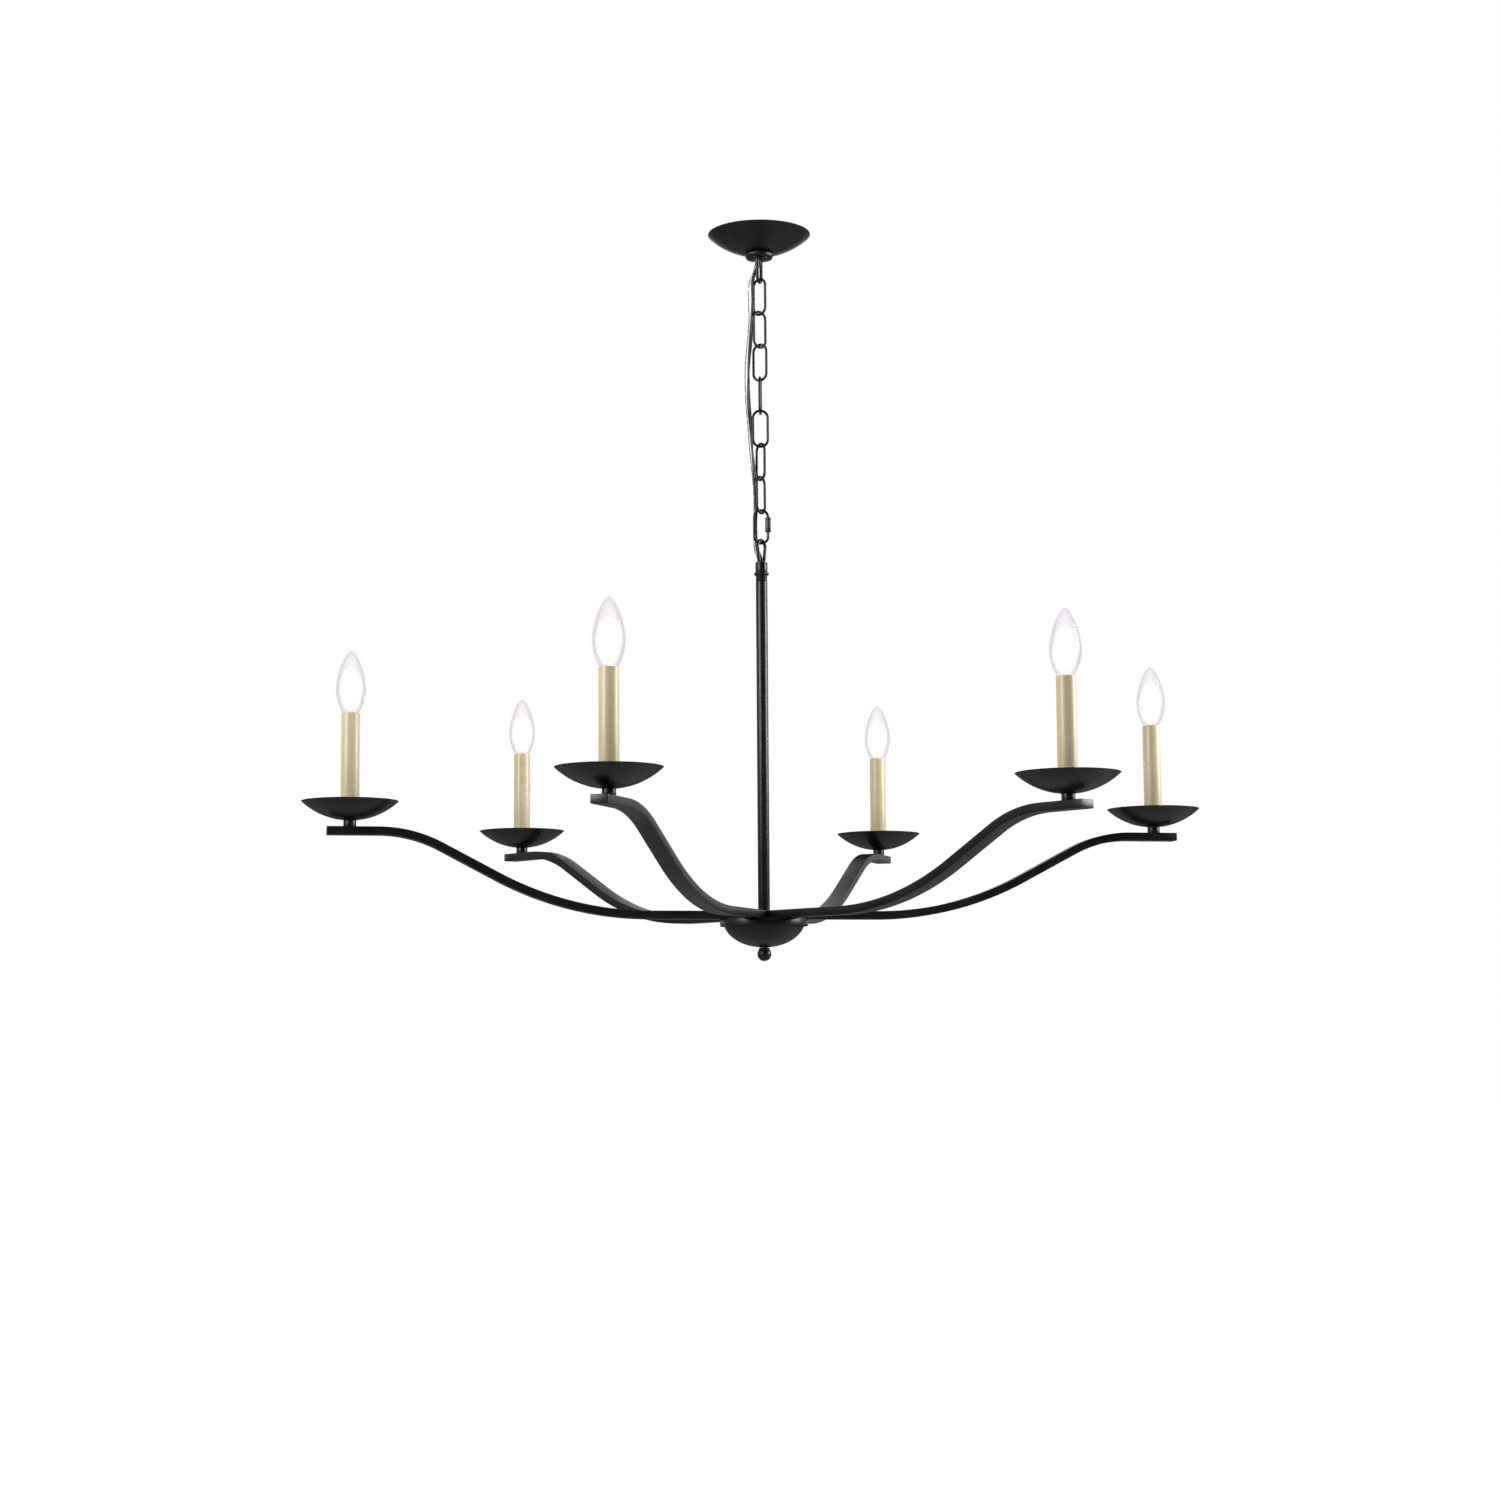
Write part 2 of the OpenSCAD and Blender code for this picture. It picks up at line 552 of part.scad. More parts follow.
// Shallow round dish with a flat floor that the nipple passes through
module dish(i) color(black) rotate([0, 0, arm_step * (i - 1)]) translate([candle_radius, 0, 0]) difference() {
    union() {
        translate([0, 0, rim_z - dish_depth + dish_sphere_r]) difference() {
            sphere(r = dish_sphere_r, $fn = 160);
            sphere(r = dish_sphere_r - dish_sheet, $fn = 160);
            translate([0, 0, dish_depth - dish_sphere_r]) cylinder(h = 3 * dish_sphere_r, r = 2 * dish_sphere_r, $fn = 64);
            translate([0, 0, -dish_sphere_r - cut]) cylinder(h = dish_depth, r = dish_flat_r - 0.2, $fn = 64);
        }
        translate([0, 0, dish_floor]) cylinder(h = dish_sheet, r = dish_flat_r, $fn = 64);
    }
    translate([0, 0, dish_floor - cut]) cylinder(h = dish_sheet + 2 * cut, r = tapped_r, $fn = 48);
}

module sleeve(i) color(cream) rotate([0, 0, arm_step * (i - 1)]) translate([candle_radius, 0, 0])
    pipe(sleeve_z0, sleeve_z1, sleeve_d / 2, sleeve_d / 2 - sleeve_wall);

// Socket cup on a strap whose foot is clamped above the lock nut
module sockets() color(steel) at_candles() {
    translate([0, 0, foot_z]) difference() {
        cylinder(h = foot_t, r = foot_r, $fn = 48);
        translate([0, 0, -cut]) cylinder(h = foot_t + 2 * cut, r = tapped_r, $fn = 48);
    }
    difference() {
        translate([-strap_w / 2, strap_y - strap_t / 2, foot_z]) cube([strap_w, strap_t, socket_bottom + 4 - foot_z]);
        difference() {
            translate([0, 0, foot_z - cut]) cylinder(h = 200, r = 20, $fn = 48);
            translate([0, 0, foot_z - 2 * cut]) cylinder(h = 220, r = foot_r, $fn = 48);
        }
    }
    difference() {
        translate([0, 0, socket_bottom]) cylinder(h = socket_top - socket_bottom, r = socket_r, $fn = 48);
        translate([0, 0, socket_floor]) cylinder(h = 40, r = socket_bore_r, $fn = 48);
    }
}

// Outline of a bulb's glass above the sleeve: swelling from the neck, then tapering to the tip
bulb_swell = 0.4;       // height of the widest place, as a part of the visible length
function glass_r(t) = t < bulb_swell
    ? 9.6 + (bulb_d / 2 - 9.6) * sin(90 * t / bulb_swell)
    : bulb_d / 2 * pow(max(0, cos(90 * pow((t - bulb_swell) / (1 - bulb_swell), 1.15))), 0.85);
function glass_line(inset) = concat(
    [[base_r, sleeve_z1 - 7], [base_r + 2.6 - inset, sleeve_z1 - 2]],
    [for (i = [0:14]) let (t = i / 14) [max(0, glass_r(t) - inset * (t < 1 ? 1 : 0)), sleeve_z1 + 0.5 + (bulb_h - 0.5 - inset) * t]]);

// Bulb: hollow glass on a screw base
module bulb(i) rotate([0, 0, arm_step * (i - 1)]) translate([candle_radius, 0, 0]) {
    color("#f3ead2", 0.5) rotate_extrude($fn = 48) polygon(concat(glass_line(0),
        reversed([for (p = glass_line(glass_wall)) [p.x, p.y]]), [[base_r - glass_wall, sleeve_z1 - 7]]));
    color(steel) translate([0, 0, sleeve_z1 - 7 - base_h]) {
        translate([0, 0, base_tip_h]) cylinder(h = base_h - base_tip_h, r = base_r, $fn = 48);
        cylinder(h = base_tip_h, r1 = 2.5, r2 = base_r, $fn = 48);
    }
}

// ---------------------------------------------------------------- nodes

crossbar();
crossbar_nipple();
nipple_nut();
canopy();
canopy_ring();
canopy_loop();
canopy_lead();
ceiling_connectors();
for (k = [1:link_count]) chain_link(k);
quick_link();
quick_link_nut();
supply_cord();
ground_wire();
stem_loop();
stem_collar();
stem_tube();
hub_plate();
threaded_nipples();
lock_nuts();
arm_screws();
hub_connectors();
hub_cover();
finial();
fixture_leads();
candle_necks();
sockets();
for (i = [1:arm_count]) {
    arm(i);
    dish(i);
    sleeve(i);
    bulb(i);
}
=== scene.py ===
"""Six-arm candle chandelier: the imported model's pieces with their finished shapes, paints and light."""

import json
import math

import bmesh
import bpy
from bpy.props import FloatProperty, FloatVectorProperty, PointerProperty
from mathutils import Matrix, Vector


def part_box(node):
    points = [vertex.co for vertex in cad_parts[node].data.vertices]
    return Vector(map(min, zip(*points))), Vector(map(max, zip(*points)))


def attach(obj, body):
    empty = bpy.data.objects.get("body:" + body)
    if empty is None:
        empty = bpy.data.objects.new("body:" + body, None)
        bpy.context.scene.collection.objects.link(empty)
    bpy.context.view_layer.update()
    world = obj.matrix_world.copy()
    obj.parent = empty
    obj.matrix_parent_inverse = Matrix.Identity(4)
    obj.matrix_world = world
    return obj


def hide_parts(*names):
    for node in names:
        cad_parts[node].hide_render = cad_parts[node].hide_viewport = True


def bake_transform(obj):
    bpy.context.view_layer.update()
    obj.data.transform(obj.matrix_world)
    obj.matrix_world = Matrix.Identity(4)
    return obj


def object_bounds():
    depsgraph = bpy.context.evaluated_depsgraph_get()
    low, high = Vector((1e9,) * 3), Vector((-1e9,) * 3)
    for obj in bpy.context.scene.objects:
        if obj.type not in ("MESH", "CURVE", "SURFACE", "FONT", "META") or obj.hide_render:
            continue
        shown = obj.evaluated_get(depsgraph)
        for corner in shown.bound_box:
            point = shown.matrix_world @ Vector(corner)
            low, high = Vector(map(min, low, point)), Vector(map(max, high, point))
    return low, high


bl_info = {
    "name": "Candle chandelier",
    "version": (1, 0, 0),
    "blender": (4, 5, 0),
    "location": "3D View > Sidebar > Chandelier",
    "description": "Makes the finished pieces of a six-arm candle chandelier",
    "category": "Object",
}

MM = 0.001
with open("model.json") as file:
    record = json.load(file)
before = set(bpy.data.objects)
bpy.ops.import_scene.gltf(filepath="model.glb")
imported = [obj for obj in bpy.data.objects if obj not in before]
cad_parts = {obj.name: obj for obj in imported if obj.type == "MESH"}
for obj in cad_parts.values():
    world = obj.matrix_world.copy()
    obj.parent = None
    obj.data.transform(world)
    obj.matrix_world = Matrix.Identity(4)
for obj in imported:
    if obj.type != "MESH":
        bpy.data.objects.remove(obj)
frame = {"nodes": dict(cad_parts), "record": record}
CAD_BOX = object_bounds()
NODES = frame["nodes"]
ARMS = 6

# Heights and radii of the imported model, in metres
PLATE_LOW, PLATE_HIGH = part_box("hub_plate")
TUBE_LOW, TUBE_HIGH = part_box("stem_tube")
COLLAR_LOW, COLLAR_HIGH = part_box("stem_collar")
EYE_LOW, EYE_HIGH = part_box("stem_loop")
ARM_LOW, ARM_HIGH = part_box("arm_1")
DISH_LOW, DISH_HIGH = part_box("dish_1")
SLEEVE_LOW, SLEEVE_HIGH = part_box("sleeve_1")
BULB_LOW, BULB_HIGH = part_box("bulb_1")
COVER_LOW, COVER_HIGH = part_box("hub_cover")
FINIAL_LOW, FINIAL_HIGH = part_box("finial")
CANOPY_LOW, CANOPY_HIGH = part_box("canopy")
RING_LOW, RING_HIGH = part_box("canopy_ring")
LOOP_LOW, LOOP_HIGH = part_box("canopy_loop")
QUICK_LOW, QUICK_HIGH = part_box("quick_link")
NUT_LOW, NUT_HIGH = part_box("quick_link_nut")
CANDLE_X = (SLEEVE_LOW.x + SLEEVE_HIGH.x) / 2
LINKS = [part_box(f"chain_link_{k}") for k in range(1, 8)]
LINK_Z = [(low.z + high.z) / 2 for low, high in LINKS]
QUICK_Z = (QUICK_LOW.z + QUICK_HIGH.z) / 2
LINK_TURNS = [-50, 28, -41, 74, -11, -69, 47]
QUICK_TURN = -11
STEM_EYE_TURN = 44
CANOPY_EYE_TURN = 62

CORD_ROUTE = [
    (0, 0, -28), (0, 0, -32), (-0.5, 0.3, -36), (-2, 0.9, -41), (-4.3, 1.5, -46.5), (-6.4, 1.8, -52),
    (-7.9, 1.8, -58), (-8.5, 1.7, -66), (-8.6, 1.7, -78), (-8.6, 1.6, -90), (-9, 1.7, -104),
    (-9.8, 1.9, -118), (-11, 2.1, -134), (-12.6, 2.4, -152), (-13.7, 2.7, -170), (-14, 2.8, -188),
    (-13.8, 3.2, -206), (-12.8, 4.2, -222), (-11.3, 5.6, -238), (-10, 6.4, -254), (-9.2, 6.4, -270),
    (-7.8, 5.8, -286), (-6.9, 4.5, -302), (-6, 4.3, -318), (-5.4, 4.9, -334), (-5.1, 5.5, -350),
    (-5.1, 5.6, -368), (-5, 5.6, -386), (-4.3, 4.9, -393), (-2.9, 3.4, -399), (-1.2, 1.4, -405),
    (-0.3, 0.4, -409), (0, 0, -413), (0, 0, -422),
]
GROUND_ROUTE = [
    (-4.2, 2.3, -27.5), (-4.4, 2.4, -36), (-7, 4, -46), (-10.6, 5.6, -56), (-12.6, 5.6, -68),
    (-12.8, 4.6, -84), (-12.6, 3.6, -104), (-13.8, 3.2, -122), (-15.6, 3, -140), (-17.2, 3.2, -158),
    (-18, 3.6, -176), (-17.8, 4.4, -196), (-16.6, 5.8, -216), (-14.6, 7.6, -236), (-13, 9, -254),
    (-11.6, 9.4, -272), (-9.8, 8.8, -292), (-8.2, 7.8, -312), (-7.2, 8, -332), (-7.4, 8.6, -352),
    (-7.8, 8.8, -370), (-7.4, 8.6, -388), (-6, 6.6, -399), (-3.8, 4, -407), (-3.35, 3.46, -410.6),
    (-3.33, 3.45, -415.5),
]


# ---------------------------------------------------------------- settings


def length(name, description, default):
    """A size in metres that is given here in millimetres."""
    return FloatProperty(name=name, description=description, default=default * MM, min=0.0, unit="LENGTH", precision=5)


def colour(name, description, default):
    return FloatVectorProperty(
        name=name, description=description, default=default, size=3, min=0.0, max=1.0, subtype="COLOR"
    )


class ChandelierSizes(bpy.types.PropertyGroup):
    arm_width: length("Arm width", "Width of an arm's tube", 20.0)
    arm_thickness: length("Arm thickness", "Thickness of an arm's tube", 9.8)
    arm_edge: length("Arm edge", "Rounding along an arm's edges", 0.7)
    bend_start: length("Bend start", "Where an arm leaves its flat hub end", 140.0)
    bend_end: length("Bend end", "Where an arm comes level again, before the candle", 461.0)
    mitre_gap: length("Mitre gap", "Gap between two arms at the stem", 0.6)
    link_wire: length("Link wire", "Wire of the chain links and the quick link", 3.2)
    eye_wire: length("Eye wire", "Wire of the two eyes", 4.0)
    eye_radius: length("Eye radius", "Radius of the eyes' round ends, to the wire's middle", 8.0)
    seam: length("Link seam", "Depth of the butt joint in a link's leg", 0.35)
    sheet: length("Sheet", "Sheet of the dishes", 1.0)
    wall: length("Wall", "Wall of the sleeves, hub cover and canopy", 1.2)
    glass: length("Glass", "Thickness of a bulb's glass", 0.8)
    cord: length("Cord", "Width of the supply cord", 4.8)
    ground: length("Ground wire", "Diameter of the bare ground wire", 1.6)
    filament: length("Filament", "Diameter of a filament stick", 2.0)


class ChandelierColours(bpy.types.PropertyGroup):
    paint: colour("Paint", "Matte black paint", (0.0042, 0.0029, 0.0027))
    paint_light: colour("Paint, lighter", "Paint where it is thinner or rubbed", (0.0085, 0.0068, 0.0066))
    sleeve: colour("Candle sleeve", "Ivory plastic of the candle sleeves", (0.63, 0.535, 0.345))
    cord: colour("Cord", "Dark brown cord cover", (0.024, 0.014, 0.011))
    steel: colour("Steel", "Zinc plated hardware", (0.50, 0.50, 0.52))
    tin: colour("Tinned wire", "Bare ground wire", (0.52, 0.52, 0.50))
    connector: colour("Connector", "Moulded wire connectors", (0.60, 0.24, 0.04))
    glow: colour("Glow", "Light of the filaments", (1.0, 0.80, 0.46))


# ---------------------------------------------------------------- shader groups


class Graph:
    """A node tree that is filled in order, with short calls for its nodes and links."""

    def __init__(self, tree):
        self.tree = tree

    def node(self, kind, **settings):
        made = self.tree.nodes.new(kind)
        for key, value in settings.items():
            setattr(made, key, value)
        return made

    def feed(self, socket, value):
        """Links another node's socket, or sets a plain value."""
        if isinstance(value, bpy.types.NodeSocket):
            self.tree.links.new(value, socket)
        else:
            socket.default_value = value

    def maths(self, operation, a, b=0.0):
        made = self.node("ShaderNodeMath", operation=operation)
        self.feed(made.inputs[0], a)
        self.feed(made.inputs[1], b)
        return made.outputs[0]

    def ramp(self, value, low, high, out_low=0.0, out_high=1.0):
        made = self.node("ShaderNodeMapRange", clamp=True)
        for socket, given in zip(made.inputs, (value, low, high, out_low, out_high)):
            self.feed(socket, given)
        return made.outputs["Result"]

    def noise(self, vector, scale, detail=3.0, roughness=0.5):
        made = self.node("ShaderNodeTexNoise")
        self.feed(made.inputs["Vector"], vector)
        self.feed(made.inputs["Scale"], scale)
        made.inputs["Detail"].default_value = detail
        made.inputs["Roughness"].default_value = roughness
        return made.outputs["Fac"]

    def mix(self, factor, a, b):
        made = self.node("ShaderNodeMix", data_type="RGBA")
        self.feed(made.inputs["Factor"], factor)
        self.feed(made.inputs["A"], a)
        self.feed(made.inputs["B"], b)
        return made.outputs["Result"]


def new_group(name, inputs, outputs):
    """An empty shader group with float inputs (name, default) and float outputs."""
    tree = bpy.data.node_groups.new(name, "ShaderNodeTree")
    for title, default in inputs:
        made = tree.interface.new_socket(name=title, in_out="INPUT", socket_type="NodeSocketFloat")
        made.default_value = default
    for title in outputs:
        tree.interface.new_socket(name=title, in_out="OUTPUT", socket_type="NodeSocketFloat")
    graph = Graph(tree)
    return graph, graph.node("NodeGroupInput"), graph.node("NodeGroupOutput")


def paint_grain_group():
    """Fine orange peel of sprayed paint, with a broad unevenness under it."""
    g, given, out = new_group("Paint grain", [("Grain scale", 900.0), ("Broad scale", 24.0)], ["Height", "Broad"])
    place = g.node("ShaderNodeTexCoord").outputs["Object"]
    cells = g.node("ShaderNodeTexVoronoi", feature="SMOOTH_F1")
    g.feed(cells.inputs["Vector"], place)
    g.feed(cells.inputs["Scale"], given.outputs["Grain scale"])
    fine = g.noise(place, g.maths("MULTIPLY", given.outputs["Grain scale"], 1.9), detail=2.0)
    g.feed(out.inputs["Height"], g.maths("ADD", cells.outputs["Distance"], fine))
    g.feed(out.inputs["Broad"], g.noise(place, given.outputs["Broad scale"], detail=4.0))
    return g.tree


def edge_wear_group():
    """Where paint is rubbed along outside edges, broken up by noise."""
    g, given, out = new_group("Edge wear", [("Reach", 0.06), ("Break-up scale", 160.0)], ["Mask"])
    sharp = g.node("ShaderNodeNewGeometry").outputs["Pointiness"]
    place = g.node("ShaderNodeTexCoord").outputs["Object"]
    edge = g.ramp(sharp, 0.505, g.maths("ADD", given.outputs["Reach"], 0.505))
    patches = g.ramp(g.noise(place, given.outputs["Break-up scale"], detail=5.0), 0.38, 0.68)
    g.feed(out.inputs["Mask"], g.maths("MULTIPLY", edge, patches))
    return g.tree


def dust_group():
    """Thin dust on whatever faces up."""
    g, given, out = new_group("Dust", [("Scale", 70.0), ("Cover", 0.5)], ["Mask"])
    upward = g.node("ShaderNodeSeparateXYZ")
    g.feed(upward.inputs[0], g.node("ShaderNodeNewGeometry").outputs["Normal"])
    place = g.node("ShaderNodeTexCoord").outputs["Object"]
    lying = g.ramp(upward.outputs["Z"], 0.35, 0.95)
    spots = g.ramp(g.noise(place, given.outputs["Scale"], detail=6.0, roughness=0.65), 0.35, 0.75)
    g.feed(out.inputs["Mask"], g.maths("MULTIPLY", g.maths("MULTIPLY", lying, spots), given.outputs["Cover"]))
    return g.tree


def drawn_lines_group():
    """Faint lines along Z, left by a die or a mould."""
    g, given, out = new_group("Drawn lines", [("Across", 1500.0), ("Along", 14.0)], ["Height"])
    stretch = g.node("ShaderNodeCombineXYZ")
    for axis, socket in zip("XYZ", ("Across", "Across", "Along")):
        g.feed(stretch.inputs[axis], given.outputs[socket])
    place = g.node("ShaderNodeVectorMath", operation="MULTIPLY")
    g.feed(place.inputs[0], g.node("ShaderNodeTexCoord").outputs["Object"])
    g.feed(place.inputs[1], stretch.outputs[0])
    g.feed(out.inputs["Height"], g.noise(place.outputs[0], 1.0, detail=2.0))
    return g.tree


# ---------------------------------------------------------------- finishes

FINISHES = {}


def start_finish(name, roughness, metallic=0.0, specular=0.5):
    """A material with its Principled shader and a helper for its nodes."""
    material = bpy.data.materials.new(name)
    material.use_nodes = True
    g = Graph(material.node_tree)
    shader = next(n for n in material.node_tree.nodes if n.type == "BSDF_PRINCIPLED")
    shader.inputs["Roughness"].default_value = roughness
    shader.inputs["Metallic"].default_value = metallic
    shader.inputs["Specular IOR Level"].default_value = specular
    return material, g, shader


def place_group(g, name, **values):
    made = g.node("ShaderNodeGroup", node_tree=bpy.data.node_groups[name])
    for title, value in values.items():
        made.inputs[title.replace("_", " ")].default_value = value
    return made


def bump(g, shader, height, strength, distance):
    made = g.node("ShaderNodeBump")
    made.inputs["Strength"].default_value = strength
    made.inputs["Distance"].default_value = distance
    g.feed(made.inputs["Height"], height)
    g.feed(shader.inputs["Normal"], made.outputs["Normal"])


def rgba(c):
    return (c[0], c[1], c[2], 1.0)


def surface_finish(name, dark, light, roughness, spread, metallic=0.0, grain=900.0, depth=0.04, wear=0.5, dust=0.3, gloss=0.5):
    """Colour and roughness that vary with the grain, rubbed edges and dust."""
    material, g, shader = start_finish(name, roughness, metallic, gloss)
    texture = place_group(g, "Paint grain", Grain_scale=grain)
    worn = place_group(g, "Edge wear")
    dusty = place_group(g, "Dust", Cover=dust)
    tone = g.mix(g.ramp(texture.outputs["Broad"], 0.3, 0.7), rgba(dark), rgba(light))
    rubbed = rgba([min(1.0, c * 1.8 + 0.008) for c in light])
    tone = g.mix(g.maths("MULTIPLY", worn.outputs["Mask"], wear), tone, rubbed)
    tone = g.mix(g.maths("MULTIPLY", dusty.outputs["Mask"], 0.05), tone, (0.42, 0.40, 0.37, 1.0))
    g.feed(shader.inputs["Base Color"], tone)
    uneven = g.ramp(texture.outputs["Broad"], 0.25, 0.75, roughness - spread, roughness + spread)
    dulled = g.maths("ADD", uneven, g.maths("MULTIPLY", dusty.outputs["Mask"], 0.25))
    g.feed(shader.inputs["Roughness"], dulled)
    bump(g, shader, texture.outputs["Height"], depth, 0.0004)
    return material


def sleeve_finish(name, tone):
    """Ivory plastic with faint mould lines."""
    material, g, shader = start_finish(name, 0.36)
    texture = place_group(g, "Paint grain", Grain_scale=500.0, Broad_scale=30.0)
    lines = place_group(g, "Drawn lines")
    dusty = place_group(g, "Dust", Cover=0.4)
    warm = rgba([tone[0] * 0.93, tone[1] * 0.91, tone[2] * 0.84])
    mixed = g.mix(g.ramp(texture.outputs["Broad"], 0.3, 0.7), warm, rgba(tone))
    mixed = g.mix(g.maths("MULTIPLY", g.ramp(lines.outputs["Height"], 0.35, 0.75), 0.03), mixed, (0.42, 0.33, 0.17, 1.0))
    g.feed(shader.inputs["Base Color"], mixed)
    rough = g.ramp(texture.outputs["Broad"], 0.25, 0.75, 0.31, 0.42)
    g.feed(shader.inputs["Roughness"], g.maths("ADD", rough, g.maths("MULTIPLY", dusty.outputs["Mask"], 0.2)))
    bump(g, shader, lines.outputs["Height"], 0.05, 0.0003)
    return material


def glass_finish(name):
    """Clear blown glass: lavender where it is seen edge on, with a painted glow in its middle: a warm tint and a faint
    emission where the glass faces the viewer, at the filaments' height.
    """
    material, g, shader = start_finish(name, 0.0)
    shader.inputs["Transmission Weight"].default_value = 1.0
    shader.inputs["IOR"].default_value = 1.12
    facing = g.node("ShaderNodeLayerWeight")
    facing.inputs["Blend"].default_value = 0.5
    place = g.node("ShaderNodeTexCoord").outputs["Object"]
    height = g.node("ShaderNodeSeparateXYZ")
    g.feed(height.inputs[0], place)
    seat, tip = SLEEVE_HIGH.z, BULB_HIGH.z
    # Painted glow: a band of height at the filaments, where the glass is tinted warm and made to emit faint light.
    low = g.ramp(height.outputs["Z"], seat + 0.002, seat + 0.018)
    high = g.ramp(height.outputs["Z"], seat + 0.72 * (tip - seat), seat + 0.45 * (tip - seat))
    lit = g.maths("MULTIPLY", low, high)
    middle = g.ramp(facing.outputs["Facing"], 0.34, 0.0)
    painted_glow_band = g.maths("MULTIPLY", g.maths("MULTIPLY", lit, g.maths("SUBTRACT", 1.0, lit)), 4.0)
    # Painted glow: a warm tint in that band, strongest where the glass faces the viewer.
    warm = g.mix(g.maths("MULTIPLY", middle, painted_glow_band), (0.972, 0.962, 0.978, 1.0), (1.0, 0.975, 0.83, 1.0))
    edge = g.ramp(facing.outputs["Facing"], 0.05, 0.60)
    g.feed(shader.inputs["Base Color"], g.mix(edge, warm, (0.84, 0.795, 0.845, 1.0)))
    g.feed(shader.inputs["Roughness"], g.ramp(g.noise(place, 60.0, detail=1.0), 0.3, 0.7, 0.0, 0.01))
    # Painted glow: the glass itself emits faint light in that band, where it faces the viewer.
    shader.inputs["Emission Color"].default_value = (1.0, 0.97, 0.88, 1.0)
    g.feed(shader.inputs["Emission Strength"], g.maths("MULTIPLY", g.maths("MULTIPLY", lit, middle), 0.22))
    return material


def glow_finish(name, tone):
    """Yellow phosphor of a lit filament, with a fine speckle in its colour and glow."""
    material, g, shader = start_finish(name, 0.6)
    place = g.node("ShaderNodeTexCoord").outputs["Object"]
    speckle = g.ramp(g.noise(place, 900.0, detail=2.0), 0.3, 0.7)
    g.feed(shader.inputs["Base Color"], g.mix(speckle, (0.80, 0.52, 0.12, 1.0), (0.90, 0.66, 0.22, 1.0)))
    g.feed(shader.inputs["Emission Color"], g.mix(speckle, rgba([c * 0.9 for c in tone]), rgba(tone)))
    shader.inputs["Emission Strength"].default_value = 9.0
    return material


def make_finishes(scene):
    c = scene.chandelier_colours
    for build in (paint_grain_group, edge_wear_group, dust_group, drawn_lines_group):
        build()
    paint = surface_finish("Matte black paint", c.paint, c.paint_light, 0.33, 0.06, grain=850.0, depth=0.10, wear=0.3, gloss=0.36)
    FINISHES.update(
        black_metal=paint,
        plated_steel=surface_finish(
            "Zinc plate", [v * 0.86 for v in c.steel], c.steel, 0.34, 0.08, 0.95, 1400.0, 0.05, 0.25, 0.4
        ),
        cord_cover=surface_finish(
            "Cord cover", c.cord, [v * 1.5 for v in c.cord], 0.46, 0.06, grain=1600.0, depth=0.10, wear=0.0, dust=0.2
        ),
        lead_cover=surface_finish(
            "Lead cover", c.paint, c.paint_light, 0.5, 0.05, grain=1600.0, depth=0.08, wear=0.0, dust=0.1
        ),
        bare_wire=surface_finish(
            "Tinned wire", [v * 0.75 for v in c.tin], c.tin, 0.38, 0.08, 0.8, 2000.0, 0.05, 0.0, 0.1
        ),
        connector_plastic=surface_finish(
            "Connector plastic", [v * 0.8 for v in c.connector], c.connector, 0.4, 0.06, grain=700.0, depth=0.06
        ),
        candle_plastic=sleeve_finish("Ivory plastic", c.sleeve),
        bulb_glass=glass_finish("Clear glass"),
        glow=glow_finish("Lit filament", c.glow),
    )


# ---------------------------------------------------------------- modelling helpers


def finish_mesh(bm, name, slot, body, nodes=(), finish=None, angle=40.0):
    """Turns a bmesh into a piece that rides on a body and stands for its CAD nodes."""
    bmesh.ops.remove_doubles(bm, verts=bm.verts, dist=1e-6)
    loose = [v for v in bm.verts if not v.link_faces]
    bmesh.ops.delete(bm, geom=loose, context="VERTS")
    bmesh.ops.recalc_face_normals(bm, faces=bm.faces)
    open_edges = [e for e in bm.edges if len(e.link_faces) != 2]
    if open_edges:
        raise RuntimeError(f"{name} has {len(open_edges)} open edges")
    mesh = bpy.data.meshes.new(name)
    bm.to_mesh(mesh)
    bm.free()
    mesh.shade_smooth()
    mesh.set_sharp_from_angle(angle=math.radians(angle))
    piece = bpy.data.objects.new(name, mesh)
    bpy.context.scene.collection.objects.link(piece)
    mesh.materials.append(FINISHES[finish or slot])
    if body:
        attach(piece, body)
    if nodes:
        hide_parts(*nodes)
    return piece


def copy_turned(bm, turn):
    """The same shape turned about the stem, in degrees."""
    made = bm.copy()
    bmesh.ops.rotate(made, verts=made.verts, cent=(0, 0, 0), matrix=Matrix.Rotation(math.radians(turn), 3, "Z"))
    return made


def bevel_sharp(bm, width, angle=35.0, segments=3, keep=None):
    """Rounds every edge that is sharper than the angle, apart from those that keep refuses."""
    limit = math.radians(angle)
    edges = [
        e
        for e in bm.edges
        if len(e.link_faces) == 2 and e.calc_face_angle(0.0) > limit and (keep is None or keep(e))
    ]
    bmesh.ops.bevel(
        bm, geom=edges, offset=width, offset_type="OFFSET", affect="EDGES",
        segments=segments, profile=0.5, material=-1, clamp_overlap=True,
    )


def spun(outline, x=0.0, steps=96, closed=True):
    """A bmesh spun about a vertical axis at x from an outline of (radius, height) points in metres."""
    bm = bmesh.new()
    verts = [bm.verts.new((r, 0.0, z)) for r, z in outline]
    pairs = list(zip(verts, verts[1:])) + ([(verts[-1], verts[0])] if closed else [])
    edges = [bm.edges.new((a, b)) for a, b in pairs if a.co.x > 0 or b.co.x > 0]
    bmesh.ops.spin(
        bm, geom=verts + edges, cent=(0, 0, 0), axis=(0, 0, 1), angle=2 * math.pi, steps=steps, use_merge=True
    )
    bmesh.ops.remove_doubles(bm, verts=bm.verts, dist=1e-6)
    if x:
        bmesh.ops.translate(bm, verts=bm.verts, vec=(x, 0, 0))
    return bm


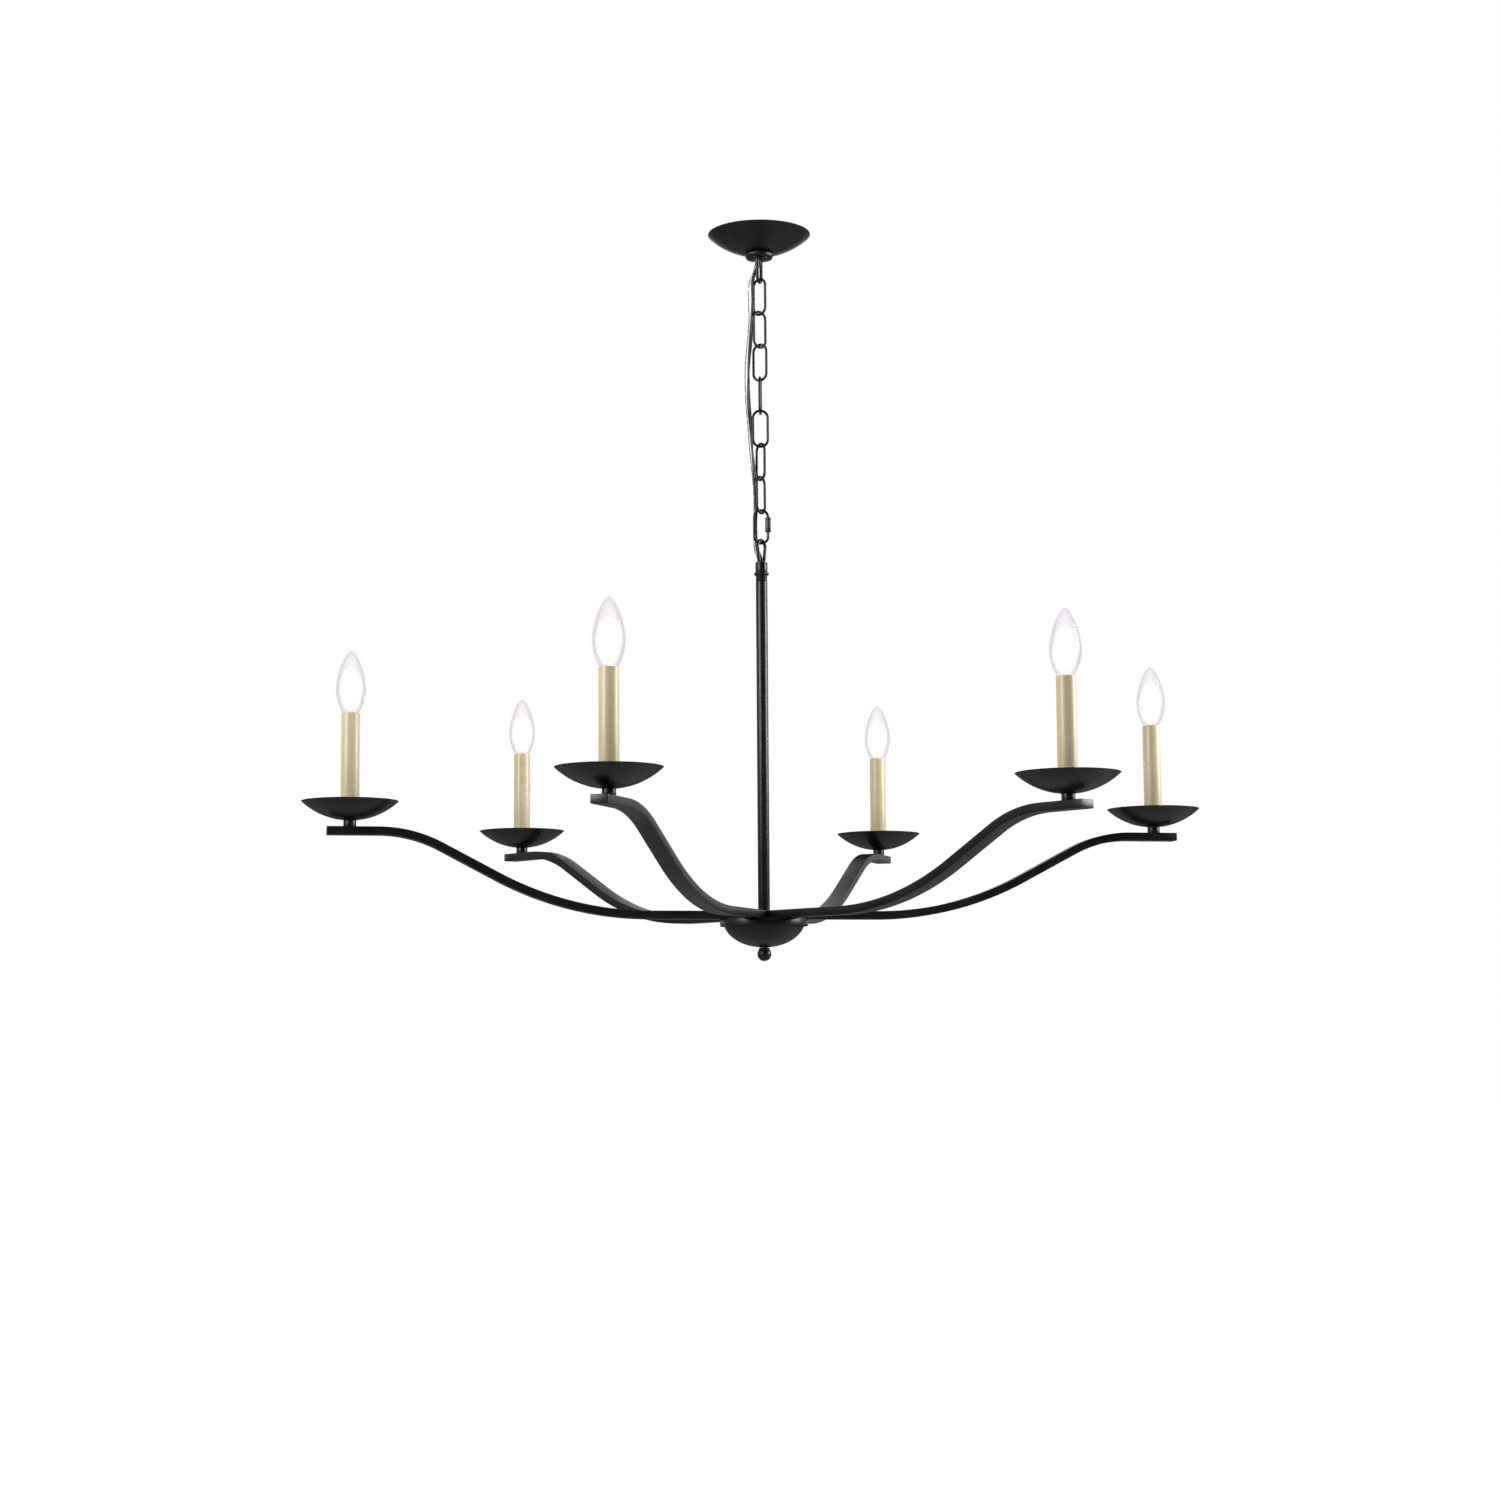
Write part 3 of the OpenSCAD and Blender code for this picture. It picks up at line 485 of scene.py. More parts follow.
def joined(target, source):
    """Adds the faces of one bmesh to another."""
    mesh = bpy.data.meshes.new("part")
    source.to_mesh(mesh)
    target.from_mesh(mesh)
    bpy.data.meshes.remove(mesh)
    source.free()
    return target


def flat_frames(points, closed=False):
    """One frame at each point of a line in the XZ plane: Z along the line and Y across the plane."""
    frames = []
    count = len(points)
    for i, p in enumerate(points):
        if closed:
            ahead, behind = points[(i + 1) % count], points[i - 1]
        else:
            ahead, behind = points[min(i + 1, count - 1)], points[max(i - 1, 0)]
        along = (Vector((ahead[0], 0, ahead[1])) - Vector((behind[0], 0, behind[1]))).normalized()
        across = Vector((0, 1, 0))
        third = across.cross(along)
        turn = Matrix((third, across, along)).transposed().to_4x4()
        frames.append(Matrix.Translation((p[0], 0, p[1])) @ turn)
    return frames


def section_ring(bm, section, first):
    """Edges of a closed section outline, placed in the first frame."""
    verts = [bm.verts.new(first @ Vector((x, y, 0))) for x, y in section]
    return [bm.edges.new((verts[i], verts[(i + 1) % len(verts)])) for i in range(len(verts))]


def swept(section, frames, closed=False, scales=None):
    """A bmesh made by extruding a section from frame to frame."""
    bm = bmesh.new()
    ring = section_ring(bm, section, frames[0])
    stops = list(range(1, len(frames))) + ([0] if closed else [])
    at, size = 0, 1.0
    for i in stops:
        made = bmesh.ops.extrude_edge_only(bm, edges=ring)["geom"]
        ring = [e for e in made if isinstance(e, bmesh.types.BMEdge)]
        verts = [v for v in made if isinstance(v, bmesh.types.BMVert)]
        wanted = scales[i] if scales else 1.0
        grow = Matrix.Diagonal((wanted / size, wanted / size, 1.0, 1.0))
        bmesh.ops.transform(bm, matrix=frames[i] @ grow @ frames[at].inverted(), verts=verts)
        at, size = i, wanted
    if closed:
        bmesh.ops.remove_doubles(bm, verts=bm.verts, dist=1e-6)
    else:
        bmesh.ops.holes_fill(bm, edges=[e for e in bm.edges if len(e.link_faces) == 1], sides=0)
    return bm


def round_section(radius, sides=16):
    return [(radius * math.cos(2 * math.pi * k / sides), radius * math.sin(2 * math.pi * k / sides)) for k in range(sides)]


def arc_points(cx, cz, r, a0, a1, steps):
    """Points of an arc in the XZ plane, angles in degrees from +X towards +Z."""
    return [
        (cx + r * math.cos(math.radians(a0 + (a1 - a0) * i / steps)), cz + r * math.sin(math.radians(a0 + (a1 - a0) * i / steps)))
        for i in range(steps + 1)
    ]


def oval_points(long, wide, z, gap=None):
    """Middle line of a long ring. A gap (low, high) in its +X leg leaves the ring open there."""
    side, top, bottom = wide / 2, z + (long - wide) / 2, z - (long - wide) / 2
    upper = arc_points(0, top, side, 0, 180, 24)
    lower = arc_points(0, bottom, side, 180, 360, 24)
    left = [(-side, top + (bottom - top) * s) for s in (0.1, 0.3, 0.485, 0.5, 0.515, 0.7, 0.9)]
    if gap:
        return [(side, z + gap[1])] + upper + left + lower + [(side, z + gap[0])]
    right = [(side, bottom + (top - bottom) * s) for s in (0.1, 0.3, 0.5, 0.7, 0.9)]
    return upper + left + lower + right


def turned(bm, degrees):
    bmesh.ops.rotate(bm, verts=bm.verts, cent=(0, 0, 0), matrix=Matrix.Rotation(math.radians(degrees), 3, "Z"))
    return bm


def hex_bar(across, low, high, bore, x=0.0, chamfer=0.0008):
    """A hexagonal nut with a bore and rounded corners at its ends."""
    bm = bmesh.new()
    outer = across / 2 / math.cos(math.pi / 6)
    made = bmesh.ops.create_circle(bm, cap_ends=False, segments=6, radius=outer)
    outside = [e for e in bm.edges]
    inside_start = set(bm.verts)
    bmesh.ops.create_circle(bm, cap_ends=False, segments=24, radius=bore)
    inside = [e for e in bm.edges if e not in outside]
    bmesh.ops.bridge_loops(bm, edges=outside + inside)
    faces = list(bm.faces)
    top = bmesh.ops.extrude_face_region(bm, geom=faces)["geom"]
    bmesh.ops.translate(bm, verts=[v for v in top if isinstance(v, bmesh.types.BMVert)], vec=(0, 0, high - low))
    corners = lambda e: all(v.co.xy.length > outer * 0.9 for v in e.verts)
    bmesh.ops.recalc_face_normals(bm, faces=bm.faces)
    bevel_sharp(bm, chamfer, 35.0, 3, corners)
    bmesh.ops.translate(bm, verts=bm.verts, vec=(x, 0, low))
    return bm


# ---------------------------------------------------------------- cords


def smooth_line(route, per_span=5):
    """A smooth line through the route's points, in metres."""
    p = [Vector(v) * MM for v in route]
    line = []
    for i in range(len(p) - 1):
        a, b, c, d = p[max(i - 1, 0)], p[i], p[i + 1], p[min(i + 2, len(p) - 1)]
        for k in range(per_span):
            t = k / per_span
            line.append(
                0.5 * ((2 * b) + (c - a) * t + (2 * a - 5 * b + 4 * c - d) * t * t + (3 * b - a - 3 * c + d) * t ** 3)
            )
    return line + [p[-1]]


def with_cuts(line, heights):
    """The line with a point added where it passes each height, on its way down."""
    out = [line[0]]
    for a, b in zip(line, line[1:]):
        for h in heights:
            if a.z > h > b.z and min(a.z - h, h - b.z) > 1e-5:
                out.append(a.lerp(b, (a.z - h) / (a.z - b.z)))
        out.append(b)
    return out


def carried_frames(line, twist_pitch):
    """Frames along a line in space, carried without spin and then twisted once in every pitch."""
    frames, side, turn = [], Vector((1, 0, 0)), 0.0
    for i, p in enumerate(line):
        along = (line[min(i + 1, len(line) - 1)] - line[max(i - 1, 0)]).normalized()
        side = (side - along * side.dot(along)).normalized()
        if i:
            turn += (p - line[i - 1]).length / twist_pitch * 2 * math.pi
        turned_side = Matrix.Rotation(turn, 3, along) @ side
        rows = Matrix((turned_side, along.cross(turned_side), along)).transposed().to_4x4()
        frames.append(Matrix.Translation(p) @ rows)
    return frames


def twin_section(width, sides=20):
    """Outline of a flat cord with two cores and a valley on each face."""
    core, offset, outline = width * 0.27, width * 0.23, []
    for k in range(sides):
        a = 2 * math.pi * k / sides
        reach = offset * abs(math.cos(a)) + math.sqrt(core ** 2 - (offset * math.sin(a)) ** 2)
        outline.append((reach * math.cos(a), reach * math.sin(a)))
    return outline


def stranded_section(diameter, strands=6):
    """Outline of twisted strands."""
    outline = []
    for k in range(strands * 3):
        dip = 1.0 if k % 3 else 0.78
        a = 2 * math.pi * k / (strands * 3)
        outline.append((diameter / 2 * dip * math.cos(a), diameter / 2 * dip * math.sin(a)))
    return outline


def lay_cord(title, node, slot, route, section, twist_pitch):
    """A cord in stretches from one link's middle to the next."""
    line = smooth_line(route)
    cuts = LINK_Z + [QUICK_Z]
    line = with_cuts(line, cuts)
    frames = carried_frames(line, twist_pitch)
    levels = [line[0].z + 1e-4] + cuts + [line[-1].z - 1e-4]
    for i, (above, below) in enumerate(zip(levels, levels[1:])):
        picked = [k for k, p in enumerate(line) if below - 1e-5 <= p.z <= above + 1e-5]
        bm = swept(section, [frames[k] for k in picked])
        piece = finish_mesh(bm, f"{title}_{i + 1}", slot, None, [node])
        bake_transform(piece)


# ---------------------------------------------------------------- operators


class CHANDELIER_OT_stage(bpy.types.Operator):
    """Make the camera, the floor, the soft lights and the finishes"""

    bl_idname = "chandelier.stage"
    bl_label = "Stage and finishes"

    def execute(self, context):
        scene = context.scene
        scene.view_settings.view_transform = "Standard"
        camera = bpy.data.cameras.new("Camera")
        camera.lens = 63.525
        camera.sensor_width = 36.0
        camera.clip_start, camera.clip_end = 0.05, 100.0
        holder = bpy.data.objects.new("Camera", camera)
        scene.collection.objects.link(holder)
        heading, pitch, roll = math.radians(-10.94), math.radians(6.2), math.radians(-0.4)
        ahead = Vector((-math.sin(heading) * math.cos(pitch), math.cos(heading) * math.cos(pitch), math.sin(pitch)))
        right = Vector((math.cos(heading), math.sin(heading), 0))
        up = right.cross(ahead)
        right = right * math.cos(roll) + up * math.sin(roll)
        up = right.cross(ahead)
        turn = Matrix((right, up, -ahead)).transposed().to_4x4()
        holder.matrix_world = Matrix.Translation((-0.6211, -3.1312, -0.9886)) @ turn
        scene.camera = holder
        self.light_world(scene)
        self.lay_floor(scene)
        for name, place, size, power in (
            ("Left softbox", (-3.0, -1.6, 0.4), 1.8, 110.0),
            ("Right softbox", (3.1, -0.7, 0.3), 1.8, 155.0),
        ):
            data = bpy.data.lights.new(name, "AREA")
            data.shape, data.size, data.energy = "SQUARE", size, power
            lamp = bpy.data.objects.new(name, data)
            aim = Vector((0, 0, -0.8)) - Vector(place)
            lamp.rotation_mode = "QUATERNION"
            lamp.location, lamp.rotation_quaternion = place, aim.to_track_quat("-Z", "Y")
            scene.collection.objects.link(lamp)
        make_finishes(scene)
        return {"FINISHED"}

    def light_world(self, scene):
        """White all round, dimmer from behind the viewer, so that gloss shows bands."""
        world = bpy.data.worlds.new("Studio")
        scene.world = world
        world.use_nodes = True
        world.node_tree.nodes.clear()
        g = Graph(world.node_tree)
        ways = g.node("ShaderNodeSeparateXYZ")
        g.feed(ways.inputs[0], g.node("ShaderNodeTexCoord").outputs["Generated"])
        level = g.ramp(ways.outputs["Y"], -0.10, 0.90, 0.05, 0.85)
        lit, seen = g.node("ShaderNodeBackground"), g.node("ShaderNodeBackground")
        g.feed(lit.inputs["Strength"], level)
        lit.inputs["Color"].default_value = (1.0, 0.995, 0.99, 1.0)
        seen.inputs["Color"].default_value = (1.0, 1.0, 1.0, 1.0)
        mixed = g.node("ShaderNodeMixShader")
        way = g.node("ShaderNodeLightPath")
        through = g.maths("MAXIMUM", way.outputs["Is Camera Ray"], way.outputs["Is Transmission Ray"])
        g.feed(mixed.inputs[0], through)
        g.feed(mixed.inputs[1], lit.outputs[0])
        g.feed(mixed.inputs[2], seen.outputs[0])
        g.feed(g.node("ShaderNodeOutputWorld").inputs["Surface"], mixed.outputs[0])

    def lay_floor(self, scene):
        bm = bmesh.new()
        bmesh.ops.create_grid(bm, x_segments=1, y_segments=1, size=40.0)
        bmesh.ops.translate(bm, verts=bm.verts, vec=(0, 0, CAD_BOX[0].z - 1.4))
        mesh = bpy.data.meshes.new("Floor")
        bm.to_mesh(mesh)
        bm.free()
        material, g, shader = start_finish("Pale floor", 0.9)
        place = g.node("ShaderNodeTexCoord").outputs["Object"]
        g.feed(shader.inputs["Base Color"], g.mix(g.noise(place, 3.0), (0.38, 0.38, 0.38, 1), (0.41, 0.41, 0.41, 1)))
        shader.inputs["Emission Color"].default_value = (1, 1, 1, 1)
        way = g.node("ShaderNodeLightPath")
        through = g.maths("MAXIMUM", way.outputs["Is Camera Ray"], way.outputs["Is Transmission Ray"])
        g.feed(shader.inputs["Emission Strength"], through)
        mesh.materials.append(material)
        floor = bpy.data.objects.new("Floor", mesh)
        scene.collection.objects.link(floor)


class CHANDELIER_OT_cords(bpy.types.Operator):
    """Make the supply cord and the bare ground wire beside the chain"""

    bl_idname = "chandelier.cords"
    bl_label = "Supply cord and ground wire"

    def execute(self, context):
        s = context.scene.chandelier_sizes
        lay_cord("lamp_cord", "supply_cord", "cord_cover", CORD_ROUTE, twin_section(s.cord), 0.19)
        lay_cord(
            "ground_strand", "ground_wire", "bare_wire", GROUND_ROUTE, stranded_section(s.ground), 0.014
        )
        return {"FINISHED"}


class CHANDELIER_OT_canopy(bpy.types.Operator):
    """Make the canopy, its ring and the eye below it"""

    bl_idname = "chandelier.canopy"
    bl_label = "Canopy"

    def execute(self, context):
        s = context.scene.chandelier_sizes
        rim, depth = CANOPY_HIGH.x, CANOPY_HIGH.z - CANOPY_LOW.z
        ball = (rim * rim + depth * depth) / (2 * depth)
        hole = 13.5 * MM
        dome = lambda r, inset: CANOPY_HIGH.z + ball - depth - math.sqrt((ball - inset) ** 2 - r * r)
        inner_rim = math.sqrt((ball - s.wall) ** 2 - (ball - depth) ** 2)
        steps = 30
        outside = [(hole + (rim - hole) * i / steps, dome(hole + (rim - hole) * i / steps, 0)) for i in range(steps + 1)]
        inside = [
            (inner_rim + (hole - inner_rim) * i / steps, dome(inner_rim + (hole - inner_rim) * i / steps, s.wall))
            for i in range(steps + 1)
        ]
        bm = spun(outside + inside, steps=144)
        bevel_sharp(bm, 0.35 * MM)
        finish_mesh(bm, "dome_canopy", "black_metal", "canopy", ["canopy"])

        outer, bore = RING_HIGH.x, 12.3 * MM
        bm = spun(
            [(bore, RING_HIGH.z), (outer, RING_HIGH.z), (outer, RING_HIGH.z - 1.5 * MM), (outer - 1.5 * MM, RING_LOW.z), (bore, RING_LOW.z)],
            steps=120,
        )
        flutes = [v for v in bm.verts if v.co.xy.length > outer - 1e-5]
        for v in flutes:
            step = round(math.atan2(v.co.y, v.co.x) / (2 * math.pi) * 120)
            if step % 3 == 0:
                v.co.xy *= 1 - 0.45 * MM / outer
        bevel_sharp(bm, 0.3 * MM, 60.0, 2, lambda e: abs(e.verts[0].co.z - e.verts[1].co.z) < 1e-6)
        finish_mesh(bm, "fluted_ring", "black_metal", "canopy_ring", ["canopy_ring"], angle=30.0)

        collar, wire = 12 * MM, s.eye_wire / 2
        low, top = -31.5 * MM, LOOP_HIGH.z
        way = 2.6 * MM
        bm = spun([(way, top), (collar, top), (collar, low), (way, low)], steps=72)
        bevel_sharp(bm, 0.8 * MM, keep=lambda e: e.verts[0].co.xy.length > collar * 0.9)
        bottom = LOOP_LOW.z + wire + s.eye_radius
        points = [(s.eye_radius, low + 1.5 * MM), (s.eye_radius, (low + bottom) / 2)]
        points += [(x, z) for x, z in arc_points(0, bottom, s.eye_radius, 0, -180, 32)]
        points += [(-s.eye_radius, (low + bottom) / 2), (-s.eye_radius, low + 1.5 * MM)]
        eye = turned(swept(round_section(wire, 20), flat_frames(points)), CANOPY_EYE_TURN)
        finish_mesh(joined(bm, eye), "canopy_eye", "black_metal", "ceiling", ["canopy_loop"])
        return {"FINISHED"}


class CHANDELIER_OT_chain(bpy.types.Operator):
    """Make the chain links, each with its butt joint"""

    bl_idname = "chandelier.chain"
    bl_label = "Chain links"

    def execute(self, context):
        s = context.scene.chandelier_sizes
        low, high = LINKS[0]
        long = high.z - low.z
        across = (high - low).xy
        turn = math.radians(LINK_TURNS[0])
        wire = s.link_wire
        wide = (across.x - wire * (1 - abs(math.cos(turn)))) / abs(math.cos(turn))
        for k, z in enumerate(LINK_Z):
            points = oval_points(long - wire, wide - wire, z)
            seam = 25 + 3
            scales = [1.0] * len(points)
            scales[seam] = 1 - s.seam / (wire / 2)
            bm = swept(round_section(wire / 2, 20), flat_frames(points, True), closed=True, scales=scales)
            finish_mesh(
                turned(bm, LINK_TURNS[k]), f"wire_link_{k + 1}", "black_metal", f"chain_link_{k + 1}",
                [f"chain_link_{k + 1}"], angle=25.0,
            )
        return {"FINISHED"}


class CHANDELIER_OT_quick_link(bpy.types.Operator):
    """Make the quick link and its nut"""

    bl_idname = "chandelier.quick_link"
    bl_label = "Quick link"

    def execute(self, context):
        s = context.scene.chandelier_sizes
        wire = s.link_wire
        long = QUICK_HIGH.z - QUICK_LOW.z
        leg = 8.45 * MM
        gap_middle, gap_half = 7.2 * MM, 2.25 * MM
        points = oval_points(long - wire, 2 * leg, QUICK_Z, (gap_middle - gap_half, gap_middle + gap_half))
        bm = swept(round_section(wire / 2, 20), flat_frames(points))
        bevel_sharp(bm, 0.3 * MM, 60.0, 2)
        finish_mesh(turned(bm, QUICK_TURN), "quick_shackle", "black_metal", "quick_link", ["quick_link"])
        bm = hex_bar(7 * MM, NUT_LOW.z, NUT_HIGH.z, 1.75 * MM, leg, 0.7 * MM)
        finish_mesh(turned(bm, QUICK_TURN), "long_nut", "black_metal", "quick_link_nut", ["quick_link_nut"])
        return {"FINISHED"}


class CHANDELIER_OT_stem(bpy.types.Operator):
    """Make the stem's eye, its turned collar and the tube"""

    bl_idname = "chandelier.stem"
    bl_label = "Stem"

    def execute(self, context):
        s = context.scene.chandelier_sizes
        wire, reach = s.eye_wire / 2, s.eye_radius
        mouth = COLLAR_HIGH.z
        shoulder = EYE_HIGH.z - wire - reach
        foot = 5 * MM
        legs = [(reach + (foot - reach) * t, shoulder + (mouth + 0.8 * MM - shoulder) * t) for t in (0.25, 0.5, 0.75, 1.0)]
        points = list(reversed(legs)) + arc_points(0, shoulder, reach, 0, 180, 32) + [(-x, z) for x, z in legs]
        eye = turned(swept(round_section(wire, 20), flat_frames(points)), STEM_EYE_TURN)
        cap_r, way = 7.45 * MM, 2.6 * MM
        bm = spun([(way, mouth - 6 * MM), (5.8 * MM, mouth - 6 * MM), (5.8 * MM, mouth), (cap_r, mouth),
                   (cap_r, mouth + 1.6 * MM), (way, mouth + 1.6 * MM)], steps=64)
        bevel_sharp(bm, 0.4 * MM, keep=lambda e: e.verts[0].co.z > mouth + MM and e.verts[0].co.xy.length > cap_r * 0.9)
        finish_mesh(joined(bm, eye), "stem_eye", "black_metal", "fixture", ["stem_loop"])

        body_low, bead_low, skirt_low = mouth - 10.3 * MM, mouth - 14.7 * MM, mouth - 22.3 * MM
        bead_r = COLLAR_HIGH.x - 2.2 * MM
        outline = [(4.2 * MM, mouth - 6 * MM), (5.8 * MM, mouth - 6 * MM), (5.8 * MM, mouth), (cap_r, mouth), (cap_r, body_low)]
        outline += arc_points(bead_r, (body_low + bead_low) / 2, 2.2 * MM, 90, -90, 16)
        outline += [(6.9 * MM, bead_low), (6.9 * MM, skirt_low), (5.5 * MM, skirt_low), (5.5 * MM, COLLAR_LOW.z), (4.2 * MM, COLLAR_LOW.z)]
        bm = spun(outline, steps=72)
        bevel_sharp(bm, 0.25 * MM, 50.0, 2)
        finish_mesh(bm, "turned_collar", "black_metal", "fixture", ["stem_collar"])

        outer = TUBE_HIGH.x
        bm = spun([(outer, TUBE_LOW.z), (outer, TUBE_HIGH.z), (5.65 * MM, TUBE_HIGH.z), (5.65 * MM, TUBE_LOW.z + 20 * MM),
                   (4.85 * MM, TUBE_LOW.z + 20 * MM), (4.85 * MM, TUBE_LOW.z)], steps=72)
        bevel_sharp(bm, 0.35 * MM, keep=lambda e: e.verts[0].co.xy.length > outer * 0.9)
        finish_mesh(bm, "long_tube", "black_metal", "fixture", ["stem_tube"])
        return {"FINISHED"}


class CHANDELIER_OT_hub(bpy.types.Operator):
    """Make the hub plate, the bowl under it and the ball that holds the bowl"""

    bl_idname = "chandelier.hub"
    bl_label = "Hub"

    def execute(self, context):
        s = context.scene.chandelier_sizes
        rim, top, low = PLATE_HIGH.x, PLATE_HIGH.z, PLATE_LOW.z
        inner = rim - 1.8 * MM
        bm = spun([(4.85 * MM, top), (rim, top), (rim, low), (inner, low), (inner, top - 2 * MM), (4.85 * MM, top - 2 * MM)], steps=128)
        bevel_sharp(bm, 0.6 * MM, keep=lambda e: e.verts[0].co.xy.length > inner * 0.97)
        finish_mesh(bm, "round_plate", "black_metal", "fixture", ["hub_plate"])

        lip, depth = 6.5 * MM, COVER_HIGH.z - COVER_LOW.z - 6.5 * MM

        def bowl(r, deep):
            curve = [(r, COVER_HIGH.z)]
            for i in range(29):
                t = i / 28
                u = 1 - t
                curve.append((
                    u ** 3 * r + 3 * u * u * t * 0.9 * r + 3 * u * t * t * 0.55 * r,
                    COVER_HIGH.z - lip - deep * (3 * u * u * t * 0.5 + 3 * u * t * t + t ** 3),
                ))
            return curve

        hole = 5.4 * MM
        outside = [p for p in bowl(COVER_HIGH.x, depth) if p[0] > hole] + [(hole, COVER_LOW.z)]
        inside = [p for p in bowl(COVER_HIGH.x - s.wall, depth - s.wall) if p[0] > hole] + [(hole, COVER_LOW.z + s.wall)]
        bm = spun(outside + inside[::-1], steps=128)
        bevel_sharp(bm, 0.3 * MM)
        finish_mesh(bm, "hub_bowl", "black_metal", "hub_cover", ["hub_cover"])

        ball, neck = FINIAL_HIGH.x, 6.7 * MM
        middle = FINIAL_LOW.z + ball
        shoulder = math.degrees(math.acos(neck / ball))
        deep = middle - 1.4 * MM
        outline = [(5.1 * MM, FINIAL_HIGH.z), (neck, FINIAL_HIGH.z)] + arc_points(0, middle, ball, shoulder, -90, 40)
        outline += [(0, deep), (5.1 * MM, deep)]
        outline = [(max(0.0, r), z) for r, z in outline]
        bm = spun(outline, steps=72)
        bevel_sharp(bm, 0.25 * MM, 60.0, 2, lambda e: e.verts[0].co.z > FINIAL_HIGH.z - 1e-5 and e.verts[1].co.z > FINIAL_HIGH.z - 1e-5)
        finish_mesh(bm, "ball_finial", "black_metal", "finial", ["finial"])
        return {"FINISHED"}


class CHANDELIER_OT_arms(bpy.types.Operator):
    """Make the six curved arms"""

    bl_idname = "chandelier.arms"
    bl_label = "Arms"

    def middle_line(self, s):
        """Heights and directions along an arm's middle, from the hub block to its end."""
        hub_z, tip_z = PLATE_HIGH.z + s.arm_thickness / 2, ARM_HIGH.z - s.arm_thickness / 2
        rise, span = tip_z - hub_z, s.bend_end - s.bend_start
        total = 0.95 * (span * span + rise * rise) / (2 * rise)
        low_r, high_r = 0.715 * total, 0.285 * total
        straight = math.sqrt(span * span + (rise - total) ** 2 - total * total)
        slope = math.degrees(math.atan2(rise - total, span) - math.atan2(-total, straight))
        points = [(20 * MM + (s.bend_start - 20 * MM) * i / 6, hub_z) for i in range(6)]
        points += arc_points(s.bend_start, hub_z + low_r, low_r, -90, -90 + slope, 24)
        points += arc_points(s.bend_end, tip_z - high_r, high_r, 90 + slope, 90, 24)
        points += [(s.bend_end + (ARM_HIGH.x - s.bend_end) * i / 4, tip_z) for i in (1, 2, 3, 4)]
        return points

    def execute(self, context):
        s = context.scene.chandelier_sizes
        half, thick = s.arm_width / 2, s.arm_thickness
        notch = TUBE_HIGH.x + 0.35 * MM
        apex = s.mitre_gap
        slant = math.tan(math.radians(30))
        corner_x = (apex * slant ** 2 + math.sqrt((1 + slant ** 2) * notch ** 2 - (apex * slant) ** 2)) / (1 + slant ** 2)
        corner = math.atan2((corner_x - apex) * slant, corner_x)
        bm = bmesh.new()
        plan = [(notch * math.cos(corner * (1 - i / 4)), notch * math.sin(corner * (1 - i / 4))) for i in range(9)]
        plan += [(apex + half / slant, -half), (20 * MM, -half), (20 * MM, half), (apex + half / slant, half)]
        face = bm.faces.new([bm.verts.new((x, y, PLATE_HIGH.z)) for x, y in plan])
        made = bmesh.ops.extrude_face_region(bm, geom=[face])["geom"]
        bmesh.ops.translate(bm, verts=[v for v in made if isinstance(v, bmesh.types.BMVert)], vec=(0, 0, thick))
        end = next(f for f in bm.faces if all(abs(v.co.x - 20 * MM) < 1e-6 for v in f.verts))
        frames = flat_frames(self.middle_line(s))
        for before, after in zip(frames, frames[1:]):
            end = bmesh.ops.extrude_discrete_faces(bm, faces=[end])["faces"][0]
            bmesh.ops.transform(bm, matrix=after @ before.inverted(), verts=end.verts)
        bmesh.ops.recalc_face_normals(bm, faces=bm.faces)
        bevel_sharp(bm, s.arm_edge, keep=lambda e: max(v.co.xy.length for v in e.verts) > notch * 1.2)
        for i in range(ARMS):
            finish_mesh(copy_turned(bm, 60 * i), f"curved_arm_{i + 1}", "black_metal", "fixture", [f"arm_{i + 1}"])
        bm.free()
        return {"FINISHED"}


